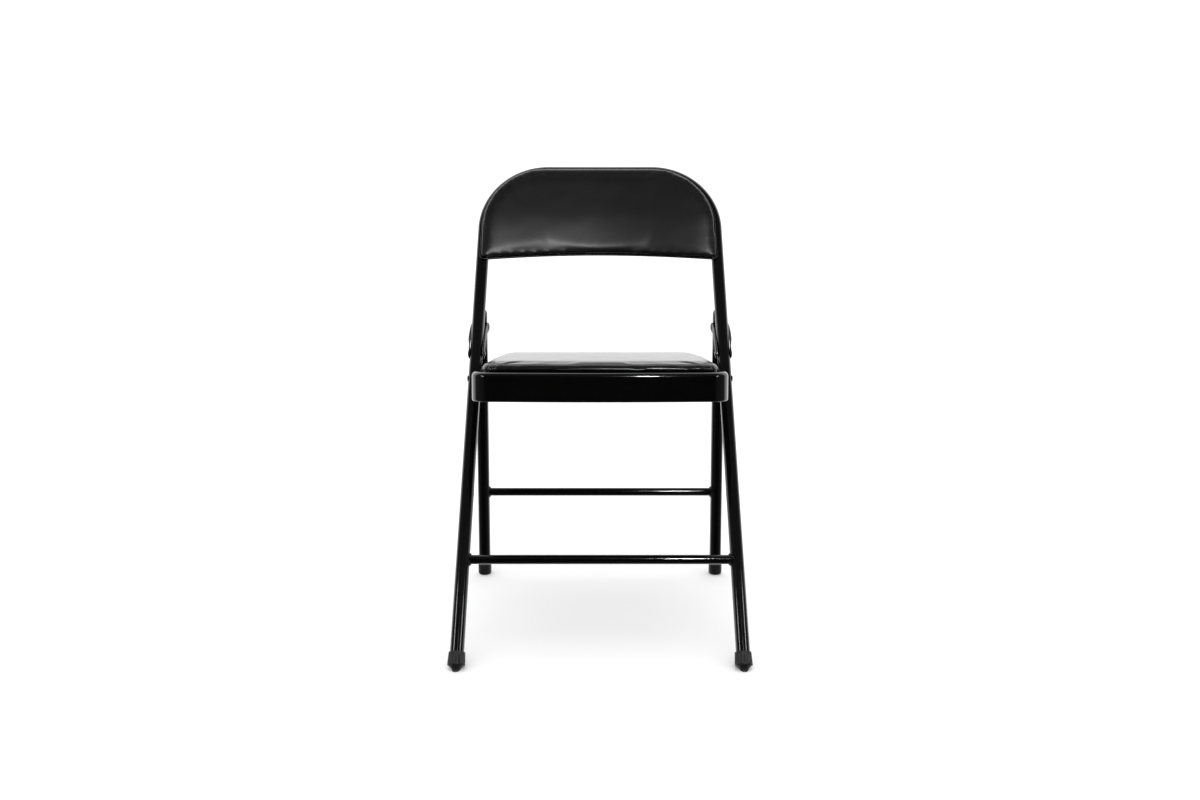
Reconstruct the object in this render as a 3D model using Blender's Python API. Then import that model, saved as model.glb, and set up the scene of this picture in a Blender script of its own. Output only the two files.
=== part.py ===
"""Steel folding chair with a padded seat and back: every piece as its own solid, in metres, +Z up."""

import math

import bmesh
import bpy
from mathutils import Quaternion, Vector

# Front frame: one bent tube, legs and back in one piece
tube_radius = 0.011
tube_wall = 0.001
front_foot_half = 0.2207          # half the distance between the leg axes at the floor
lower_narrowing = 0.014           # lost from the half distance for each metre of height
upper_narrowing = 0.0355
lower_rake = math.radians(54.66)  # from the floor
upper_rake = math.radians(63.6)
bend_height = 0.503
bend_softness = 0.045
frame_height = 0.7611
corner_radius = 0.113
back_bow = 0.028                  # how far the middle of the back lies behind its sides
depth_centre = 0.2552             # from the front foot's contact to the middle of the whole depth

# Rear legs
rear_foot_depth = 0.4237          # behind the front foot's contact
rear_lean = 0.058                 # forward for each metre of height
rear_foot_half = 0.2199
rear_narrowing = 0.0127
rear_top_height = 0.512

# Crossbars
bar_radius = 0.0075
bar_wall = 0.001
front_bar_height = 0.142
rear_bar_height = 0.164

# Pivots, by height
seat_pivot_height = 0.4025
rear_pivot_height = 0.405
link_rear_height = 0.477
folded_offset = 0.0232            # from the front tube's axis to the rear tube's when folded

# Seat pan, in the seat's own frame: origin on the seat pivot, y to the rear along the pan
seat_tilt = math.radians(5.8)
pan_top = 0.0255
pan_front = -0.2191
pan_rear = 0.1629
pan_half_front = 0.1975
pan_half_rear = 0.194
pan_skirt = 0.0448
pan_shoulder = 0.007
pan_sheet = 0.0008
pan_lip = 0.009
pan_corner_front = 0.028
pan_corner_rear = 0.045
pan_front_bow = 0.011

# Seat pad
pad_rim_side = 0.012              # bare pan left round the pad
pad_rim_front = 0.008
pad_rim_rear = 0.016
pad_corner_front = 0.034
pad_corner_rear = 0.026
pad_board = 0.004
pad_height = 0.017                # crown above the pan
pad_falloff = 0.004               # lower at the pad's rear edge
pad_skin = 0.0009
foam_gap = 0.0025                 # foam and board inside the cover's sides

# Back pad and panel
back_pad_side = 0.0015            # pad edge outside the tube's axis at the sides
back_pad_top = 0.002
back_pad_bottom_height = 0.5925
back_pad_arch = 0.006
back_board = 0.003
back_thickness = 0.019
back_panel_depth = 0.0085         # panel's middle in front of the tube's axis
back_sheet_half = 0.0005          # half the panel's thickness
back_panel_gap = 0.0096           # panel edge inside the tube's axis

# Links, rivets and washers
link_sheet = 0.0015
link_half_width = 0.008
link_arch = 0.012
link_inner_face = 0.2019          # outer face of the inner plates, from the middle plane
link_outer_seat = 0.2259          # inner face of the outer plates at the front rivet
link_joggle = 0.0019
shank_radius = 0.003
hole_play = 0.0003
rivet_head = 0.0055
head_height = 0.0014
small_head = 0.0045
spacer_radius = 0.005
touch_gap = 0.0003
soft_gap = 0.0006                 # between the bowed layers of the back pad
screw_radius = 0.0019
hole_radius = 0.0023
pan_head_play = 0.0008            # under the rivet heads inside the pan
seat_screw_half = 0.11            # screws from the middle plane
seat_screw_front = 0.07           # from the pan's front and rear edges
seat_screw_rear = 0.08
seat_screw_bite = 0.003
back_screw_half = 0.12
back_screw_rises = (0.035, 0.10)  # from the back pad's lower edge
back_screw_bite = 0.0022
hem_width = 0.022                 # cover turned under the pad's edge

# Feet
cap_play = 0.0003
front_cap_top = 0.0275            # along the tube's axis, from the floor
front_cap_floor = 0.0062
front_cap_mouth_radius = 0.0130
front_cap_foot_radius = 0.0138
front_tube_end = 0.0105
rear_cap_top = 0.021
rear_cap_radius = 0.0124
rear_tube_end = 0.0045

tube_sides = 16
bar_sides = 12
lathe_steps = 12

upper_length = (frame_height - tube_radius - bend_height) / math.sin(upper_rake)
lower_direction = Vector((0.0, math.cos(lower_rake), math.sin(lower_rake)))
upper_direction = Vector((0.0, math.cos(upper_rake), math.sin(upper_rake)))
back_normal = Vector((0.0, -math.sin(upper_rake), math.cos(upper_rake)))
bend_depth = bend_height / math.tan(lower_rake)

materials = {}
bodies = {}


# Scene and placing

def clear_scene():
    for old in list(bpy.data.objects):
        bpy.data.objects.remove(old, do_unlink=True)


def material(name, colour, roughness, metallic=0.0):
    made = bpy.data.materials.new(name)
    made.use_nodes = True
    surface = made.node_tree.nodes["Principled BSDF"]
    surface.inputs["Base Color"].default_value = (*colour, 1.0)
    surface.inputs["Roughness"].default_value = roughness
    surface.inputs["Metallic"].default_value = metallic
    materials[name] = made


def body_origin(name, place):
    empty = bpy.data.objects.new(name + "_origin", None)
    empty.location = place
    empty.empty_display_size = 0.03
    bpy.context.collection.objects.link(empty)
    bodies[name] = empty


def solid(name, form, body, finish, place=(0, 0, 0), turn=None, smooth=True):
    """Makes the node from a bmesh, at a world place, as a child of its body's origin."""
    mesh = bpy.data.meshes.new(name)
    bmesh.ops.recalc_face_normals(form, faces=form.faces)
    form.to_mesh(mesh)
    form.free()
    mesh.polygons.foreach_set("use_smooth", [smooth] * len(mesh.polygons))
    made = bpy.data.objects.new(name, mesh)
    made.data.materials.append(materials[finish])
    bpy.context.collection.objects.link(made)
    made.parent = bodies[body]
    made.location = Vector(place) - bodies[body].location
    made.rotation_mode = "QUATERNION"
    made.rotation_quaternion = turn if turn else Quaternion()
    return made


def cutter(name, form, place=(0, 0, 0), turn=None):
    mesh = bpy.data.meshes.new(name)
    bmesh.ops.recalc_face_normals(form, faces=form.faces)
    form.to_mesh(mesh)
    form.free()
    made = bpy.data.objects.new(name, mesh)
    bpy.context.collection.objects.link(made)
    made.location = place
    made.rotation_mode = "QUATERNION"
    made.rotation_quaternion = turn if turn else Quaternion()
    made.hide_render = True
    made.display_type = "WIRE"
    return made


def take_away(target, tool):
    cut = target.modifiers.new(tool.name, "BOOLEAN")
    cut.operation = "DIFFERENCE"
    cut.solver = "EXACT"
    cut.object = tool


def wall(target, thickness):
    shell = target.modifiers.new("wall", "SOLIDIFY")
    shell.thickness = thickness
    shell.offset = -1.0


# Forms

def sweep(path, radius, sides):
    """An open-ended round skin along a path, with rings carried round the bends without twist."""
    form = bmesh.new()
    points = [Vector(point) for point in path]
    heading = (points[1] - points[0]).normalized()
    across = heading.orthogonal().normalized()
    rings = []
    for at, point in enumerate(points):
        ahead = points[min(at + 1, len(points) - 1)] - points[max(at - 1, 0)]
        ahead.normalize()
        across = heading.rotation_difference(ahead) @ across
        heading = ahead
        side = heading.cross(across)
        turns = [2 * math.pi * step / sides for step in range(sides)]
        rings.append([form.verts.new(point + radius * (math.cos(a) * across + math.sin(a) * side)) for a in turns])
    for ring, following in zip(rings, rings[1:]):
        for step in range(sides):
            after = (step + 1) % sides
            form.faces.new((ring[step], ring[after], following[after], following[step]))
    return form


def lathe(outline, steps=lathe_steps, closed=False):
    """Turns an outline of (radius, height) round the local Z axis. A closed one leaves a bore."""
    form = bmesh.new()
    verts = [form.verts.new((radius, 0.0, height)) for radius, height in outline]
    pairs = list(zip(verts, verts[1:])) + ([(verts[-1], verts[0])] if closed else [])
    edges = [form.edges.new(pair) for pair in pairs]
    bmesh.ops.spin(form, geom=verts + edges, cent=(0, 0, 0), axis=(0, 0, 1), angle=2 * math.pi, steps=steps,
                   use_merge=True)
    bmesh.ops.remove_doubles(form, verts=form.verts, dist=1e-6)
    return form


def loft(rings, caps=True):
    """Skins a list of rings with equal counts, and fills the first and the last one."""
    form = bmesh.new()
    made = [[form.verts.new(point) for point in ring] for ring in rings]
    count = len(made[0])
    for ring, following in zip(made, made[1:]):
        for step in range(count):
            after = (step + 1) % count
            form.faces.new((ring[step], ring[after], following[after], following[step]))
    if caps:
        form.faces.new(made[0])
        form.faces.new(made[-1])
    return form


def rod(radius, low, high, steps=lathe_steps):
    return lathe([(0, low), (radius, low), (radius, high), (0, high)], steps)


def sleeve(inner, outer, low, high):
    return lathe([(inner, low), (outer, low), (outer, high), (inner, high)], closed=True)


# Where things lie

def world(x, depth, height):
    return Vector((x, depth - depth_centre, height))


def front_leg(height, side=1):
    half = front_foot_half - lower_narrowing * height
    return world(side * half, height / math.tan(lower_rake), height)


def rear_leg(height, side=1):
    half = rear_foot_half - rear_narrowing * height
    return world(side * half, rear_foot_depth - rear_lean * height, height)


def back_half(along):
    """Half the width of the upper frame's axis, at a distance along it from the bend."""
    straight = min(along, upper_length - corner_radius)
    at_bend = front_foot_half - lower_narrowing * bend_height
    half = at_bend - upper_narrowing * straight * math.sin(upper_rake)
    rise = max(along - straight, 0.0)
    if rise > 0:
        half += math.sqrt(max(corner_radius ** 2 - rise ** 2, 0.0)) - corner_radius
    return half


def back_place(x, along, depth=0.0):
    """A place on the bowed surface of the back, depth in front of the tube's axis."""
    widest = back_half(upper_length - corner_radius)
    bow = back_bow * max(0.0, 1 - (x / widest) ** 2) ** 1.5
    base = world(x, bend_depth, bend_height) + along * upper_direction + depth * back_normal
    return base + Vector((0, bow, 0))


def back_facing(x, along):
    """The bowed surface's own forward normal."""
    step = 0.001
    across = back_place(x + step, along) - back_place(x - step, along)
    return across.cross(upper_direction).normalized()


def turned(point, centre, angle):
    """A (depth, height) point turned clockwise round a centre, seen with the front to the left."""
    y, z = point[0] - centre[0], point[1] - centre[1]
    cos, sin = math.cos(angle), math.sin(angle)
    return centre[0] + cos * y + sin * z, centre[1] - sin * y + cos * z


def fold():
    """The four pivots and the three turns that lay the chair flat."""
    seat = (seat_pivot_height / math.tan(lower_rake), seat_pivot_height)
    rear = (rear_foot_depth - rear_lean * rear_pivot_height, rear_pivot_height)
    link = (rear_foot_depth - rear_lean * link_rear_height, link_rear_height)
    reach = math.dist(seat, rear)
    rest = math.atan2(rear[1] - seat[1], rear[0] - seat[0])
    seat_turn = rest + math.pi - lower_rake - math.asin(folded_offset / reach)
    leg_turn = math.atan2(1, -rear_lean) - lower_rake
    rear_folded = turned(rear, seat, seat_turn)
    arm = turned((link[0] - rear[0], link[1] - rear[1]), (0, 0), leg_turn)
    link_folded = (rear_folded[0] + arm[0], rear_folded[1] + arm[1])
    open_arm = (seat[0] - link[0], seat[1] - link[1])
    folded_arm = (seat[0] - link_folded[0], seat[1] - link_folded[1])
    squares = math.hypot(*folded_arm) ** 2 - math.hypot(*open_arm) ** 2
    along = (open_arm[0] - folded_arm[0]) * lower_direction.y + (open_arm[1] - folded_arm[1]) * lower_direction.z
    up = squares / (2 * along)
    pin = (seat[0] + up * lower_direction.y, seat[1] + up * lower_direction.z)
    open_angle = math.atan2(link[1] - pin[1], link[0] - pin[0])
    folded_angle = math.atan2(link_folded[1] - pin[1], link_folded[0] - pin[0])
    return seat, rear, link, pin, seat_turn, leg_turn, open_angle - folded_angle


seat_pin, rear_pin, link_pin, frame_pin, seat_turn, leg_turn, link_turn = fold()


def along_x(low_x, side):
    """The turn that lays a lathed piece along X, its local Z pointing away from the middle plane."""
    return Vector((0, 0, 1)).rotation_difference(Vector((side, 0, 0))), Vector((side * low_x, 0, 0))


def cross_pin(name, form, body, finish, pin, inner_x, side):
    """Lays a turned piece across the chair, its local zero at inner_x from the middle plane."""
    turn, start = along_x(inner_x, side)
    return solid(name, form, body, finish, start + world(0, *pin), turn)


def cross_hole(name, pin, low_x, high_x, side, radius):
    turn, start = along_x(low_x, side)
    return cutter(name, rod(radius, 0, high_x - low_x), start + world(0, *pin), turn)


def rivet(length, outer_head, inner_head):
    """A shank with a low domed head at each end. Length is between the heads."""
    outline = [(0, -head_height), (0.6 * inner_head, -head_height), (inner_head, -0.35 * head_height),
               (inner_head, 0), (shank_radius, 0), (shank_radius, length), (outer_head, length),
               (outer_head, length + 0.35 * head_height), (0.6 * outer_head, length + head_height),
               (0, length + head_height)]
    return lathe(outline)


# Front frame

def frame_path():
    """Axis of the bent tube, from the left foot over the top to the right foot."""
    half = [front_leg(front_tube_end * math.sin(lower_rake))]
    bend = front_leg(bend_height)
    reach = bend_softness
    before = front_leg(bend_height - reach * math.sin(lower_rake))
    after = back_place(-back_half(reach), reach)
    after.x = abs(after.x)
    for step in range(5):
        t = step / 4
        half.append((1 - t) ** 2 * before + 2 * t * (1 - t) * bend + t ** 2 * after)
    straight = upper_length - corner_radius
    half.append(back_place(back_half(straight), straight))
    corner_x = back_half(straight) - corner_radius
    for step in range(1, 7):
        turn = math.pi / 2 * step / 6
        half.append(back_place(corner_x + corner_radius * math.cos(turn), straight + corner_radius * math.sin(turn)))
    half += [back_place(corner_x * share, upper_length) for share in (0.66, 0.33)]
    other = [Vector((-point.x, point.y, point.z)) for point in reversed(half)]
    return half + [back_place(0, upper_length)] + other


def front_frame():
    tube = solid("front_frame_tube", sweep(frame_path(), tube_radius, tube_sides), "front_frame", "black_enamel")
    wall(tube, tube_wall)
    for side, word in ((-1, "left"), (1, "right")):
        for pin, label in ((seat_pin, "seat"), (frame_pin, "link")):
            hole = cross_hole(f"cut_{label}_pin_{word}", pin, 0.195, 0.235, side, shank_radius + hole_play)
            take_away(tube, hole)
    crossbar("front_crossbar", front_bar_height, front_leg, "front_frame")


def crossbar(name, height, leg, body):
    """A round tube between two legs, its ends cut to the legs' round sides."""
    middle = leg(height, 1)
    path = [Vector((side * middle.x, middle.y, middle.z)) for side in (-1, 1)]
    bar = solid(name, sweep(path, bar_radius, bar_sides), body, "black_enamel")
    wall(bar, bar_wall)
    for side, word in ((-1, "left"), (1, "right")):
        low, high = leg(height - 0.04, side), leg(height + 0.04, side)
        turn = Vector((0, 0, 1)).rotation_difference((high - low).normalized())
        tool = rod(tube_radius + touch_gap, 0, (high - low).length, steps=2 * tube_sides)
        take_away(bar, cutter(f"cut_{name}_{word}", tool, low, turn))


# Rear legs

def rear_legs():
    for side, word in ((-1, "left"), (1, "right")):
        foot, top = rear_leg(rear_tube_end, side), rear_leg(rear_top_height, side)
        length = (top - foot).length
        inner = tube_radius - tube_wall
        arcs = [math.pi / 2 * step / 4 for step in range(5)]
        outline = [(tube_radius, 0.0)]
        outline += [(tube_radius * math.cos(a), length - tube_radius + tube_radius * math.sin(a)) for a in arcs]
        outline += [(inner * math.cos(a), length - tube_radius + inner * math.sin(a)) for a in reversed(arcs)]
        outline += [(inner, 0.0)]
        outline = [(max(radius, 0.0), height) for radius, height in outline]
        turn = Vector((0, 0, 1)).rotation_difference((top - foot).normalized())
        leg = solid(f"rear_leg_{word}", domed_tube(outline), "rear_legs", "black_enamel", foot, turn)
        for pin, label in ((rear_pin, "rear"), (link_pin, "link")):
            hole = cross_hole(f"cut_{label}_hole_{word}", pin, 0.195, 0.235, side, shank_radius + hole_play)
            take_away(leg, hole)
    crossbar("rear_crossbar", rear_bar_height, rear_leg, "rear_legs")


def domed_tube(outline):
    """A tube open at its foot and domed at its top, outside and inside."""
    form = lathe(outline, steps=tube_sides, closed=True)
    loose = [edge for edge in form.edges if not edge.link_faces]
    bmesh.ops.delete(form, geom=loose, context="EDGES")
    return form


# Feet

def foot_cap(name, body, foot, top, outline, steps):
    """A rubber cup on a tube's end, cut level where it stands."""
    turn = Vector((0, 0, 1)).rotation_difference((top - foot).normalized())
    form = lathe(outline, steps)
    form.transform(turn.to_matrix().to_4x4())
    cut = bmesh.ops.bisect_plane(form, geom=form.verts[:] + form.edges[:] + form.faces[:], dist=1e-7,
                                 plane_co=(0, 0, -foot.z), plane_no=(0, 0, -1), clear_outer=True)
    rim = [edge for edge in cut["geom_cut"] if isinstance(edge, bmesh.types.BMEdge)]
    bmesh.ops.edgeloop_fill(form, edges=rim)
    return solid(name, form, body, "black_rubber", foot)


def feet():
    bore = tube_radius + cap_play
    for side, word in ((-1, "left"), (1, "right")):
        end = front_tube_end - cap_play
        outline = [(0, -0.006), (0.0062, -0.006), (0.0085, front_cap_floor - 0.003),
                   (front_cap_foot_radius - 0.0012, front_cap_floor),
                   (front_cap_foot_radius, front_cap_floor + 0.0015), (front_cap_mouth_radius, front_cap_top - 0.002),
                   (front_cap_mouth_radius - 0.0006, front_cap_top), (bore, front_cap_top), (bore, end), (0, end)]
        foot_cap(f"front_foot_{word}", "front_frame", front_leg(0, side), front_leg(0.05, side), outline, 16)
        end = rear_tube_end - cap_play
        outline = [(0, -0.002), (rear_cap_radius - 0.003, -0.002), (rear_cap_radius - 0.003, 0.0012),
                   (rear_cap_radius - 0.0009, 0.0022), (rear_cap_radius, 0.0045), (rear_cap_radius, rear_cap_top - 0.001),
                   (rear_cap_radius - 0.0005, rear_cap_top), (bore, rear_cap_top), (bore, end), (0, end)]
        foot_cap(f"rear_foot_{word}", "rear_legs", rear_leg(0, side), rear_leg(0.05, side), outline, 16)


# Seat

def rounded_plan(inset, front_radius, rear_radius, corner_steps=5, side_steps=3):
    """The pan's outline at an inset, anticlockwise from the front left: (x, y) in the seat's frame."""
    front, rear = pan_front + inset, pan_rear - inset
    r_front, r_rear = max(front_radius - inset, 0.004), max(rear_radius - inset, 0.004)
    points = []

    def half(y):
        share = (y - pan_front) / (pan_rear - pan_front)
        return pan_half_front + (pan_half_rear - pan_half_front) * share - inset

    def corner(x, y, radius, start):
        for step in range(corner_steps + 1):
            turn = start + math.pi / 2 * step / corner_steps
            points.append((x + radius * math.cos(turn), y + radius * math.sin(turn)))

    front_half, rear_half = half(front + r_front), half(rear - r_rear)
    corner(-(front_half - r_front), front + r_front, r_front, math.pi)
    for step in range(1, side_steps + 1):
        share = 2 * step / (side_steps + 1) - 1
        points.append((share * (front_half - r_front), front))
    corner(front_half - r_front, front + r_front, r_front, 1.5 * math.pi)
    corner(rear_half - r_rear, rear - r_rear, r_rear, 0)
    corner(-(rear_half - r_rear), rear - r_rear, r_rear, 0.5 * math.pi)
    bowed = []
    for x, y in points:
        near = max(0.0, 1 - (y - front) / 0.06)
        bowed.append((x, y - pan_front_bow * near * (1 - (x / front_half) ** 2)))
    return bowed


def pan_ring(inset, height):
    plan = rounded_plan(inset, pan_corner_front, pan_corner_rear)
    return [(x, y, height) for x, y in plan]


def shoulder(radius, inset, height, steps=3):
    """Rings of a rounded top edge, from the flat to the side."""
    turns = [math.pi / 2 * step / steps for step in range(steps + 1)]
    return [pan_ring(inset + radius * (1 - math.sin(a)), height - radius * (1 - math.cos(a))) for a in turns]


def seat_solid(name, form, finish, smooth=True):
    turn = Quaternion((1, 0, 0), -seat_tilt)
    return solid(name, form, "seat", finish, world(0, *seat_pin), turn, smooth)


def seat_pan():
    bottom = pan_top - pan_skirt
    rings = shoulder(pan_shoulder, 0.0, pan_top)
    rings += [pan_ring(0.0, bottom + 0.002), pan_ring(0.002, bottom), pan_ring(pan_lip, bottom)]
    rings += [pan_ring(pan_lip, bottom + pan_sheet), pan_ring(0.002 + pan_sheet, bottom + pan_sheet),
              pan_ring(pan_sheet, bottom + 0.002 + pan_sheet)]
    rings += reversed(shoulder(pan_shoulder - pan_sheet, pan_sheet, pan_top - pan_sheet))
    pan = seat_solid("seat_pan", loft(rings), "black_enamel")
    for side, word in ((-1, "left"), (1, "right")):
        for pin, label in ((seat_pin, "seat"), (rear_pin, "rear")):
            hole = cross_hole(f"cut_pan_{label}_{word}", pin, 0.188, 0.202, side, shank_radius + hole_play)
            take_away(pan, hole)
    for at, (x, y) in enumerate(screw_places()):
        place = world(0, *seat_pin) + Quaternion((1, 0, 0), -seat_tilt) @ Vector((x, y, pan_top - 0.006))
        tool = cutter(f"cut_pan_screw_{at}", rod(hole_radius, 0, 0.012, 12), place, Quaternion((1, 0, 0), -seat_tilt))
        take_away(pan, tool)


def screw_places():
    return [(x, y) for x in (-seat_screw_half, seat_screw_half)
            for y in (pan_front + seat_screw_front, pan_rear - seat_screw_rear)]


def pad_plan(inset):
    """The seat pad's outline at an inset: the pan's own, drawn in by the bare rim."""
    plan = rounded_plan(inset, pad_corner_front, pad_corner_rear)
    reach = (pan_rear - pan_front) / 2
    middle = (pan_rear + pan_front) / 2
    squeeze = 1 - (pad_rim_front + pad_rim_rear) / (2 * reach)
    slim = 1 - pad_rim_side / pan_half_front
    shift = (pad_rim_front - pad_rim_rear) / 2
    return [(x * slim, middle + (y - middle) * squeeze + shift) for x, y in plan]


def pad_rings(inset, base, crown, first=0):
    """Rings over the rounded side to a low crown, from one of the profile's steps."""
    profile = ((0.0, 0.0), (0.0, 0.25), (0.002, 0.58), (0.007, 0.84), (0.020, 0.95), (0.075, 1.0))
    rings = []
    for draw, share in profile[first:]:
        rings.append([(x, y, base + share * (crown - pad_falloff * max(0, y) / pan_rear - base))
                      for x, y in pad_plan(inset + draw)])
    return rings


def seat_pad():
    floor = pan_top + touch_gap
    skin = pad_skin
    board_low = floor + skin + touch_gap
    board_high = board_low + pad_board
    foam_low = board_high + touch_gap
    crown = pan_top + pad_height
    outer = pad_rings(0.0, floor, crown)
    inner = pad_rings(skin, floor + skin, crown - skin)
    hem = [[(x, y, z) for x, y in pad_plan(hem_width)] for z in (floor + skin, floor)]
    seat_solid("seat_cover", loft(list(reversed(inner)) + hem + outer), "black_vinyl")
    foam = pad_rings(skin + foam_gap, floor + skin - foam_gap / 2, crown - skin - foam_gap / 2, first=2)
    foam.insert(0, [(x, y, foam_low) for x, y, z in foam[0]])
    seat_solid("seat_foam", loft(foam), "grey_foam")
    hull = [[(x, y, z) for x, y in pad_plan(skin + foam_gap)] for z in (board_low, board_high)]
    board = seat_solid("seat_board", loft(hull), "plywood", smooth=False)
    low = pan_top - pan_sheet - touch_gap
    turn = Quaternion((1, 0, 0), -seat_tilt)
    for at, (x, y) in enumerate(screw_places(), start=1):
        place = world(0, *seat_pin) + turn @ Vector((x, y, low))
        solid(f"seat_screw_{at}", screw(board_low + seat_screw_bite - low), "seat", "zinc_steel", place, turn)
        hole = rod(hole_radius, 0, board_low + seat_screw_bite - low + touch_gap, 12)
        take_away(board, cutter(f"cut_board_screw_{at}", hole, place, turn))


def screw(reach):
    """A pan-headed screw, its head below the local zero."""
    return lathe([(0, -0.002), (0.003, -0.002), (0.0045, -0.0008), (0.0045, 0), (screw_radius, 0),
                  (screw_radius, reach), (0, reach)], 12)


# Back

def back_rows(low, high, side, count):
    """Rows up the back, closer together round the top corners, with the half width of each."""
    straight = upper_length - corner_radius
    reach = high - straight
    rows = [low + (straight - low) * step / 3 for step in range(3)]
    rows += [straight + reach * math.sin(math.pi / 2 * step / count) for step in range(count + 1)]
    widths = []
    for along in rows:
        rise = max(along - straight, 0.0) / reach
        flat = back_half(min(along, straight))
        corner = flat - corner_radius
        widths.append(corner + (corner_radius + side) * math.sqrt(max(1 - rise ** 2, 0.0)))
    return rows, widths


def back_sheet(low, high, side, depth, arch, columns=14):
    """A grid over the bowed back, as an open surface."""
    form = bmesh.new()
    rows, widths = back_rows(low, high, side, 5)
    grid = []
    for along, half in zip(rows, widths):
        line = []
        for step in range(columns + 1):
            x = half * math.sin(math.pi * (step / columns - 0.5))
            lift = arch * max(0.0, 1 - (x / widths[0]) ** 2) * max(0.0, 1 - (along - low) / 0.05)
            line.append(form.verts.new(back_place(x, along + lift, depth)))
        grid.append(line)
    for line, following in zip(grid, grid[1:]):
        for step in range(columns):
            form.faces.new((line[step], line[step + 1], following[step + 1], following[step]))
    return form


def slab(form, thickness):
    """Closes a sheet into a slab, thickened towards the front."""
    copied = bmesh.ops.duplicate(form, geom=form.verts[:] + form.edges[:] + form.faces[:])
    pairs = copied["vert_map"]
    moved = [item for item in copied["geom"] if isinstance(item, bmesh.types.BMVert)]
    bmesh.ops.translate(form, verts=moved, vec=back_normal * thickness)
    rims = [edge for edge in form.edges if edge.is_boundary]
    near = [edge for edge in rims if edge.verts[0] not in moved]
    for edge in near:
        a, b = edge.verts
        form.faces.new((a, b, pairs[b], pairs[a]))
    return form


def back_along(height):
    return (height - bend_height) / math.sin(upper_rake)


def back():
    low = back_along(back_pad_bottom_height)
    high = upper_length + back_pad_top
    panel_high = upper_length - back_panel_gap
    sheet = back_sheet(low + 0.003, panel_high, -back_panel_gap, back_panel_depth - back_sheet_half, back_pad_arch)
    panel = solid("back_panel", slab(sheet, 2 * back_sheet_half), "front_frame", "black_enamel")
    rear = tube_radius + soft_gap
    front = rear + back_thickness
    skin = pad_skin
    side = back_pad_side
    outer = back_sheet(low, high, side, rear, back_pad_arch)
    cover = solid("back_cover", slab(outer, front - rear), "front_frame", "black_vinyl")
    room = back_sheet(low + skin, high - skin, side - skin, rear + skin, back_pad_arch)
    hollow = cutter("cut_back_room", slab(room, front - rear - 2 * skin))
    take_away(cover, hollow)
    mouth = back_sheet(low + hem_width, high - hem_width, side - hem_width, rear - 0.002, back_pad_arch)
    take_away(cover, cutter("cut_back_mouth", slab(mouth, 0.005)))
    inset = skin + soft_gap
    board = back_sheet(low + inset, high - inset, side - inset, rear + inset, back_pad_arch)
    board = solid("back_board", slab(board, back_board), "front_frame", "plywood", smooth=False)
    depth = rear + inset + back_board + soft_gap
    foam = back_sheet(low + inset, high - inset, side - inset, depth, back_pad_arch)
    solid("back_foam", slab(foam, front - inset - depth), "front_frame", "grey_foam")
    back_screws(panel, board, low, rear + inset)


def back_screws(panel, board, low, board_depth):
    """Four screws from behind, through the panel into the board."""
    start = back_panel_depth - back_sheet_half - soft_gap
    reach = board_depth + back_screw_bite - start
    places = [(x, low + rise) for x in (-back_screw_half, back_screw_half) for rise in back_screw_rises]
    for at, (x, along) in enumerate(places, start=1):
        place = back_place(x, along, start)
        turn = Vector((0, 0, 1)).rotation_difference(back_facing(x, along))
        solid(f"back_screw_{at}", screw(reach), "front_frame", "zinc_steel", place, turn)
        take_away(panel, cutter(f"cut_panel_screw_{at}", rod(hole_radius, -0.002, 0.0035, 12), place, turn))
        hole = rod(hole_radius, 0.0, reach + touch_gap, 12)
        take_away(board, cutter(f"cut_back_board_screw_{at}", hole, place, turn))


# Hinge

def link_form(joggled):
    """A flat arched plate from the frame rivet to the leg rivet, in (local x out, depth, height)."""
    start, end = Vector(frame_pin), Vector(link_pin)
    span = (end - start).length
    ahead = (end - start) / span
    up = Vector((-ahead.y, ahead.x))
    radius = (span ** 2 / 4 + link_arch ** 2) / (2 * link_arch)
    centre = (start + end) / 2 - up * (radius - link_arch)
    sweep_half = math.asin(span / 2 / radius)
    axis = math.atan2(up.y, up.x)
    upper, lower = [], []
    for step in range(11):
        turn = axis + sweep_half * (1 - 2 * step / 10)
        ray = Vector((math.cos(turn), math.sin(turn)))
        upper.append(centre + ray * (radius + link_half_width))
        lower.append(centre + ray * (radius - link_half_width))

    def round_end(middle, first, steps=6):
        start_angle = math.atan2(first.y - middle.y, first.x - middle.x)
        turns = [start_angle - math.pi * step / steps for step in range(1, steps)]
        return [middle + link_half_width * Vector((math.cos(a), math.sin(a))) for a in turns]

    outline = upper + round_end(end, upper[-1]) + lower[::-1] + round_end(start, lower[0])
    form = bmesh.new()

    def out(point):
        along = (point - start).dot(ahead)
        share = min(max((along - 0.009) / 0.014, 0.0), 1.0)
        return link_joggle * share * share * (3 - 2 * share) if joggled else 0.0

    layers = []
    for lift in (0.0, link_sheet):
        layers.append([form.verts.new((out(point) + lift, point.x, point.y)) for point in outline])
    count = len(outline)
    for step in range(count):
        after = (step + 1) % count
        form.faces.new((layers[0][step], layers[0][after], layers[1][after], layers[1][step]))
    for layer in layers:
        top = layer[:11]
        tip = layer[11:16]
        bottom = layer[16:27][::-1]
        tail = layer[27:]
        for step in range(10):
            form.faces.new((top[step], top[step + 1], bottom[step + 1], bottom[step]))
        form.faces.new([top[-1]] + tip + [bottom[-1]])
        form.faces.new([bottom[0]] + tail + [top[0]])
    return form


def link_plate(name, inner_x, side, joggled):
    form = link_form(joggled)
    for vert in form.verts:
        vert.co = Vector((side * (inner_x + vert.co.x), vert.co.y - frame_pin[0], vert.co.z - frame_pin[1]))
    plate = solid(name, form, "hinge_links", "black_enamel", world(0, *frame_pin), smooth=False)
    for pin, label in ((frame_pin, "frame"), (link_pin, "leg")):
        hole = cross_hole(f"cut_{name}_{label}", pin, inner_x - 0.004, inner_x + 0.008, side, shank_radius + hole_play)
        take_away(plate, hole)


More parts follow.
